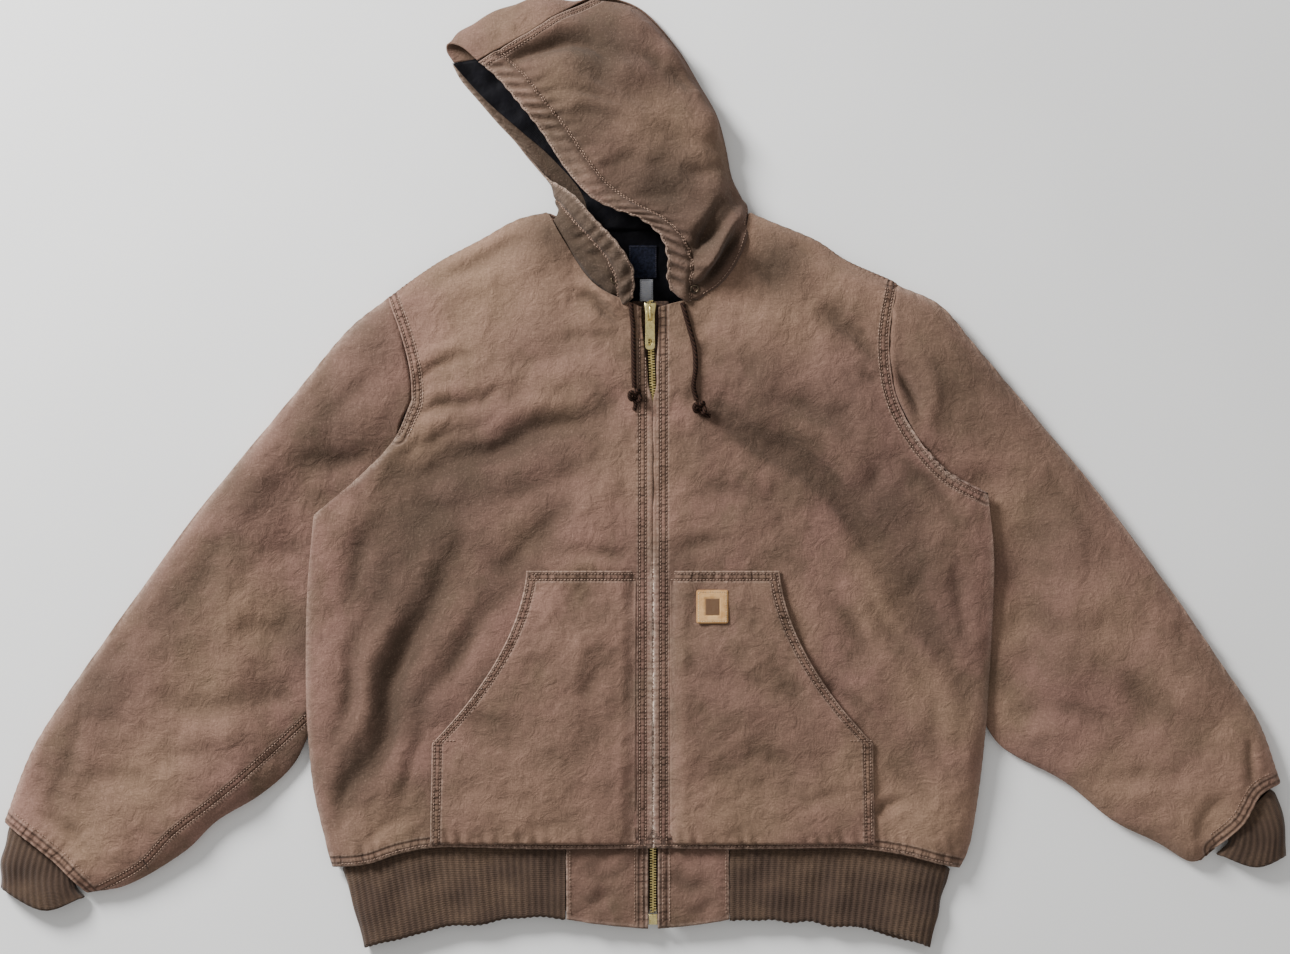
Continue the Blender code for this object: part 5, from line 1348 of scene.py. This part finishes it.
class Nodes:
    """A material under construction: short ways to add and join its nodes."""

    def __init__(self, name):
        self.material = bpy.data.materials.new(name)
        self.material.use_nodes = True
        self.tree = self.material.node_tree
        self.shader = self.tree.nodes["Principled BSDF"]
        self.coordinates = self.tree.nodes.new("ShaderNodeTexCoord").outputs["Object"]

    def add(self, kind, **settings):
        """A new shader node of this kind."""
        node = self.tree.nodes.new("ShaderNode" + kind)
        for key, value in settings.items():
            setattr(node, key, value)
        return node

    def feed(self, socket, value):
        """A link into the socket, or a constant set on it."""
        if isinstance(value, bpy.types.NodeSocket):
            self.tree.links.new(value, socket)
        else:
            socket.default_value = value

    def stretched(self, scale):
        """The object's own coordinates, scaled along each axis."""
        node = self.add("Mapping")
        node.inputs["Scale"].default_value = scale
        self.feed(node.inputs["Vector"], self.coordinates)
        return node.outputs["Vector"]

    def noise(self, scale, detail=4.0, rough=0.6, where=None, warp=0.0):
        """Cloudy unevenness with this many bumps to the metre."""
        node = self.add("TexNoise")
        self.feed(node.inputs["Vector"], where or self.coordinates)
        node.inputs["Scale"].default_value = scale
        node.inputs["Detail"].default_value = detail
        node.inputs["Roughness"].default_value = rough
        node.inputs["Distortion"].default_value = warp
        return node.outputs["Fac"]

    def weave(self, scale, direction, warp=1.0):
        """Fine bands across one direction, slightly crooked."""
        node = self.add("TexWave", bands_direction=direction)
        self.feed(node.inputs["Vector"], self.coordinates)
        node.inputs["Scale"].default_value = scale
        node.inputs["Distortion"].default_value = warp
        node.inputs["Detail"].default_value = 2.0
        node.inputs["Detail Scale"].default_value = 1.5
        return node.outputs["Fac"]

    def mark(self, name):
        """A number that the mesh carries at each of its points."""
        return self.add("Attribute", attribute_name=name).outputs["Fac"]

    def math(self, kind, first, second=0.0):
        """A sum worked out in the shader."""
        node = self.add("Math", operation=kind)
        for socket, value in zip(node.inputs, (first, second)):
            self.feed(socket, value)
        return node.outputs[0]

    def spread(self, value, low, high, to_low=0.0, to_high=1.0):
        """A value's range from low to high, as a smooth step between two others."""
        node = self.add("MapRange")
        node.interpolation_type = "SMOOTHSTEP"
        for socket, given in zip(node.inputs, (value, low, high, to_low, to_high)):
            self.feed(socket, given)
        return node.outputs[0]

    def bell(self, value, middle, width):
        """1 where a value is at its middle, falling to nothing a little over this width away."""
        away = self.math("DIVIDE", self.math("SUBTRACT", value, middle), width)
        return self.math("EXPONENT", self.math("MULTIPLY", self.math("MULTIPLY", away, away), -1.0))

    def mix(self, amount, first, second):
        """The first colour, with this much of the second."""
        node = self.add("Mix", data_type="RGBA")
        self.feed(node.inputs[0], amount)
        self.feed(node.inputs[6], first)
        self.feed(node.inputs[7], second)
        return node.outputs[2]

    def tint(self, colour, other, amount, share):
        """A colour with a share of another, given as screen values, where the amount is high."""
        return self.mix(self.math("MULTIPLY", amount, share), colour, linear(*other))

    def bump(self, height, distance, strength=1.0, under=None):
        """Fine relief this deep in metres, on top of another where one is given."""
        node = self.add("Bump")
        node.inputs["Strength"].default_value = strength
        node.inputs["Distance"].default_value = distance
        self.feed(node.inputs["Height"], height)
        if under is not None:
            self.feed(node.inputs["Normal"], under)
        return node.outputs["Normal"]

    def finish(self, colour, roughness, normal=None, metallic=0.0, sheen=0.0, specular=0.3):
        """The finished material."""
        self.feed(self.shader.inputs["Base Color"], colour)
        self.feed(self.shader.inputs["Roughness"], roughness)
        self.shader.inputs["Metallic"].default_value = metallic
        self.shader.inputs["Specular IOR Level"].default_value = specular
        if sheen:
            self.shader.inputs["Sheen Weight"].default_value = sheen
            self.shader.inputs["Sheen Roughness"].default_value = 0.6
        if normal is not None:
            self.feed(self.shader.inputs["Normal"], normal)
        return self.material


def canvas_look():
    """Washed brown duck: uneven pink-brown and olive fading, pale worn seams, puckers, and a plain weave,
    with painted highlight on raised cloth and painted shade in its troughs and puckers.
    """
    n = Nodes("washed canvas")
    broad = n.spread(n.noise(6.0, 4.0, 0.6), 0.4, 0.6)
    cloud = n.spread(n.noise(26.0, 5.0, 0.62), 0.3, 0.7)
    olive = n.spread(n.noise(11.0, 4.0, 0.6, where=n.stretched((1.0, 0.7, 1.0))), 0.46, 0.62)
    colour = n.mix(broad, linear(104, 81, 69), linear(133, 101, 90))
    colour = n.tint(colour, (94, 78, 61), olive, 0.7)
    colour = n.tint(colour, (150, 112, 100), cloud, 0.35)
    # Painted highlight and shade: raised cloth is painted paler and sunken cloth darker.
    colour = n.mix(n.spread(n.mark("raised"), 0.2, 4.0, 0.0, 0.5), colour, linear(150, 116, 101))
    colour = n.mix(n.spread(n.mark("raised"), -0.3, -4.5, 0.0, 0.6), colour, linear(70, 56, 44))
    # Paler places are partly faded cloth and partly painted light; duller places are partly dull cloth and
    # partly painted shade.
    colour = n.tint(colour, (168, 136, 112), n.mark("faded_and_lit"), 0.6)
    colour = n.mix(n.mark("dull_and_shade"), colour, linear(66, 54, 43))
    # Painted shade in crease troughs, puckers and the casing's groove.
    colour = n.tint(colour, (74, 58, 47), n.mark("trough"), 0.5)

    grain = n.noise(520.0, 4.0, 0.7)
    slub = n.noise(1.0, 3.0, 0.7, where=n.stretched((900.0, 160.0, 500.0)))
    weft = n.noise(1.0, 3.0, 0.7, where=n.stretched((160.0, 900.0, 500.0)))
    speck = n.math("ADD", n.math("MULTIPLY", grain, 0.5), n.math("MULTIPLY", n.math("ADD", slub, weft), 0.25))
    colour = n.mix(n.spread(speck, 0.62, 0.38, 0.0, 0.32), colour, linear(72, 56, 48))
    colour = n.mix(n.spread(speck, 0.5, 0.68, 0.0, 0.2), colour, linear(176, 148, 132))

    seam, along = n.mark("seam"), n.mark("along")
    drift = n.math("MULTIPLY", n.noise(34.0, 2.0), 9.0)
    phase = n.math("ADD", n.math("MULTIPLY", along, 2 * math.pi / 7.4), drift)
    wave = n.spread(n.math("COSINE", phase), 0.1, 0.95)
    near = n.bell(seam, 0.0, 5.0)
    uneven = n.spread(n.noise(60.0, 3.0), 0.4, 0.62, 0.25, 1.0)
    pucker = n.math("MULTIPLY", n.math("MULTIPLY", wave, near), uneven)
    # Painted shade in the puckers beside the seams.
    colour = n.tint(colour, (64, 48, 40), pucker, 0.55)
    groove = n.bell(n.math("ABSOLUTE", seam), ROW_APART, 1.3)
    colour = n.tint(colour, (60, 43, 35), groove, 0.75)
    ragged = n.spread(n.noise(240.0, 4.0, 0.75), 0.36, 0.62)
    rim = n.math("MULTIPLY", n.bell(seam, ROW_APART + 2.0, 1.0), 0.8)
    ridge = n.math("MAXIMUM", n.bell(seam, -SEAM_IN, 1.4), rim)
    worn = n.math("MAXIMUM", n.mark("worn"), n.math("MULTIPLY", ridge, 0.3))
    worn = n.math("MULTIPLY", worn, n.spread(wave, 0.0, 1.0, 1.0, 0.5))
    worn = n.math("MULTIPLY", worn, n.spread(ragged, 0, 1, 0.45, 1))
    colour = n.tint(colour, (196, 170, 153), worn, 0.9)
    threads = n.spread(n.noise(230.0, 3.0, 0.8, warp=1.5), 0.47, 0.56)
    frayed = n.spread(n.mark("worn"), 0.7, 0.95)
    colour = n.mix(frayed, colour, n.mix(threads, linear(104, 78, 67), linear(222, 202, 186)))

    fine = n.math("ADD", n.weave(330.0, "X", 2.0), n.weave(330.0, "Y", 2.0))
    normal = n.bump(fine, 0.00018, 0.35)
    normal = n.bump(n.math("SUBTRACT", speck, n.math("MULTIPLY", worn, 0.1)), 0.0011, 0.6, normal)
    normal = n.bump(n.noise(64.0, 5.0, 0.62, warp=0.8), 0.004, 0.6, normal)
    sunk = n.math("ADD", n.math("MULTIPLY", pucker, -0.7), n.math("MULTIPLY", groove, -0.6))
    normal = n.bump(sunk, 0.0018, 0.8, normal)
    return n.finish(colour, 0.94, normal, sheen=0.06, specular=0.12)


def rib_look():
    """Dark brown rib knit: painted shade in its grooves, its ridges painted paler, partly rubbed and partly a
    painted sheen, with rows of small loops.
    """
    n = Nodes("rib knit")
    # Painted shade in the grooves and a painted sheen on the ridges, which are partly rubbed paler.
    colour = n.mix(n.spread(n.mark("ridge"), -1.0, 0.6), linear(64, 48, 38), linear(77, 59, 47))
    colour = n.mix(n.spread(n.noise(22.0, 4.0), 0.35, 0.7, 0.0, 0.4), colour, linear(112, 90, 70))
    loops = n.math("COSINE", n.math("MULTIPLY", n.mark("up"), 240.0))
    colour = n.mix(n.spread(n.noise(600.0, 3.0, 0.7), 0.6, 0.4, 0.0, 0.4), colour, linear(52, 39, 31))
    normal = n.bump(loops, 0.00025, 0.5)
    normal = n.bump(n.noise(700.0, 3.0, 0.7), 0.0006, 0.6, normal)
    return n.finish(colour, 0.95, normal, sheen=0.15, specular=0.15)


def lining_look():
    """Nearly black lining cloth with a faint diagonal weave."""
    n = Nodes("dark lining")
    colour = n.mix(n.spread(n.noise(60.0, 4.0), 0.35, 0.7), linear(7, 6, 9), linear(17, 16, 21))
    normal = n.bump(n.weave(260.0, "DIAGONAL", 1.0), 0.0003, 0.4)
    return n.finish(colour, 0.62, n.bump(n.noise(60.0, 3.0), 0.003, 0.5, normal), specular=0.1)


def woven_look(name, low, high, roughness=0.85):
    """A tightly woven tape, label or braid between two tones."""
    n = Nodes(name)
    colour = n.mix(n.spread(n.noise(420.0, 3.0, 0.7), 0.35, 0.65), linear(*low), linear(*high))
    fine = n.math("ADD", n.weave(420.0, "X", 0.6), n.weave(420.0, "Y", 0.6))
    return n.finish(colour, roughness, n.bump(fine, 0.0003, 0.6), specular=0.2)


def cord_look():
    """Dark brown braid."""
    n = Nodes("braided cord")
    braid = n.math("ADD", n.weave(190.0, "DIAGONAL", 1.2), n.noise(500.0, 3.0, 0.7))
    colour = n.mix(n.spread(braid, 0.6, 1.4), linear(26, 16, 12), linear(60, 40, 31))
    return n.finish(colour, 0.86, n.bump(braid, 0.0007, 0.8), specular=0.15)


def leather_look():
    """Tan leather, darker where it is pressed and at its rubbed edge, with a fine grain."""
    n = Nodes("tan leather")
    cloud = n.spread(n.noise(120.0, 5.0, 0.65), 0.35, 0.68)
    colour = n.mix(cloud, linear(198, 148, 92), linear(226, 180, 124))
    colour = n.tint(colour, (98, 72, 52), n.mark("pressed"), 0.95)
    colour = n.tint(colour, (142, 100, 62), n.mark("worn"), 0.75)
    grain = n.add("TexVoronoi", feature="DISTANCE_TO_EDGE")
    grain.inputs["Scale"].default_value = 900.0
    n.feed(grain.inputs["Vector"], n.coordinates)
    normal = n.bump(n.spread(grain.outputs["Distance"], 0.0, 0.12), 0.0003, 0.5)
    return n.finish(colour, n.spread(n.noise(90.0), 0.3, 0.7, 0.5, 0.7), normal)


def brass_look():
    """Bright brass with patches of tarnish."""
    n = Nodes("brass")
    tarnish = n.spread(n.noise(260.0, 5.0, 0.7), 0.45, 0.72)
    colour = n.mix(n.math("MULTIPLY", tarnish, 0.6), linear(232, 214, 150), linear(146, 118, 66))
    rough = n.spread(n.noise(500.0, 4.0), 0.3, 0.7, 0.26, 0.46)
    return n.finish(colour, rough, n.bump(n.noise(900.0, 3.0), 0.0002, 0.4), metallic=1.0, specular=0.5)


def metal_look():
    """Blackened metal, rubbed in places."""
    n = Nodes("blackened metal")
    colour = n.mix(n.spread(n.noise(300.0), 0.4, 0.7), linear(52, 44, 38), linear(110, 96, 78))
    return n.finish(colour, 0.42, metallic=0.9, specular=0.5)


def stage():
    """A plain pale floor and soft light from the upper left."""
    n = Nodes("pale floor")
    colour = n.mix(n.spread(n.noise(3.0, 2.0), 0.3, 0.7), linear(246, 246, 245), linear(250, 250, 249))
    look = n.finish(colour, 0.9, specular=0.1)
    bpy.ops.mesh.primitive_plane_add(size=12.0, location=(0, 0, -0.0006))
    floor = bpy.context.object
    floor.name = "floor"
    floor.data.materials.append(look)
    for name, place, size, power in (("key", (-2.0, 1.8, 1.35), 1.0, KEY_POWER),
                                     ("fill", (1.6, -1.4, 2.6), 3.2, FILL_POWER)):
        lamp = bpy.data.lights.new(name, "AREA")
        lamp.shape = "DISK"
        lamp.size = size
        lamp.energy = power
        made = bpy.data.objects.new(name, lamp)
        made.location = place
        made.rotation_euler = (Vector((0, 0, 0)) - Vector(place)).to_track_quat("-Z", "Y").to_euler()
        frame_scene.collection.objects.link(made)
    world = bpy.data.worlds.new("studio")
    world.use_nodes = True
    sky = world.node_tree.nodes["Background"].inputs
    sky["Color"].default_value = (1.0, 0.99, 0.975, 1.0)
    sky["Strength"].default_value = WORLD_STRENGTH
    frame_scene.world = world


def camera():
    """The camera, straight above the middle, as wide as the stated view."""
    lens = bpy.data.cameras.new("camera")
    lens.sensor_width = SENSOR
    lens.lens = SENSOR * CAMERA_HEIGHT / CAMERA_WIDTH
    made = bpy.data.objects.new("camera", lens)
    made.location = (0.001, -0.006, CAMERA_HEIGHT + 0.01)
    frame_scene.collection.objects.link(made)
    frame_scene.camera = made


camera()
looks = {
    "canvas": canvas_look(), "rib": rib_look(), "lining": lining_look(), "cord": cord_look(),
    "leather": leather_look(), "brass": brass_look(), "dark_metal": metal_look(),
    "navy_label": woven_look("navy label", (16, 18, 30), (34, 38, 56)),
    "pale_label": woven_look("pale label", (232, 234, 246), (246, 247, 252)),
    "tape": woven_look("zip tape", (40, 29, 24), (74, 56, 46)),
    "thread": woven_look("tan thread", (128, 101, 87), (180, 152, 134)),
    "dark_thread": woven_look("dark thread", (60, 58, 66), (96, 92, 100)),
    "pale_thread": woven_look("pale thread", (206, 184, 150), (232, 214, 184)),
}
cords(looks)
fronts(looks)
pockets(looks)
sleeves(looks)
back_panel(looks)
waistband(looks)
cuffs(looks)
waist_tabs(looks)
upper_hood, lower_hood = hood(looks)
eyelets(looks, upper_hood, lower_hood)
linings(looks)
badge(looks)
zip_parts(looks)
stage()
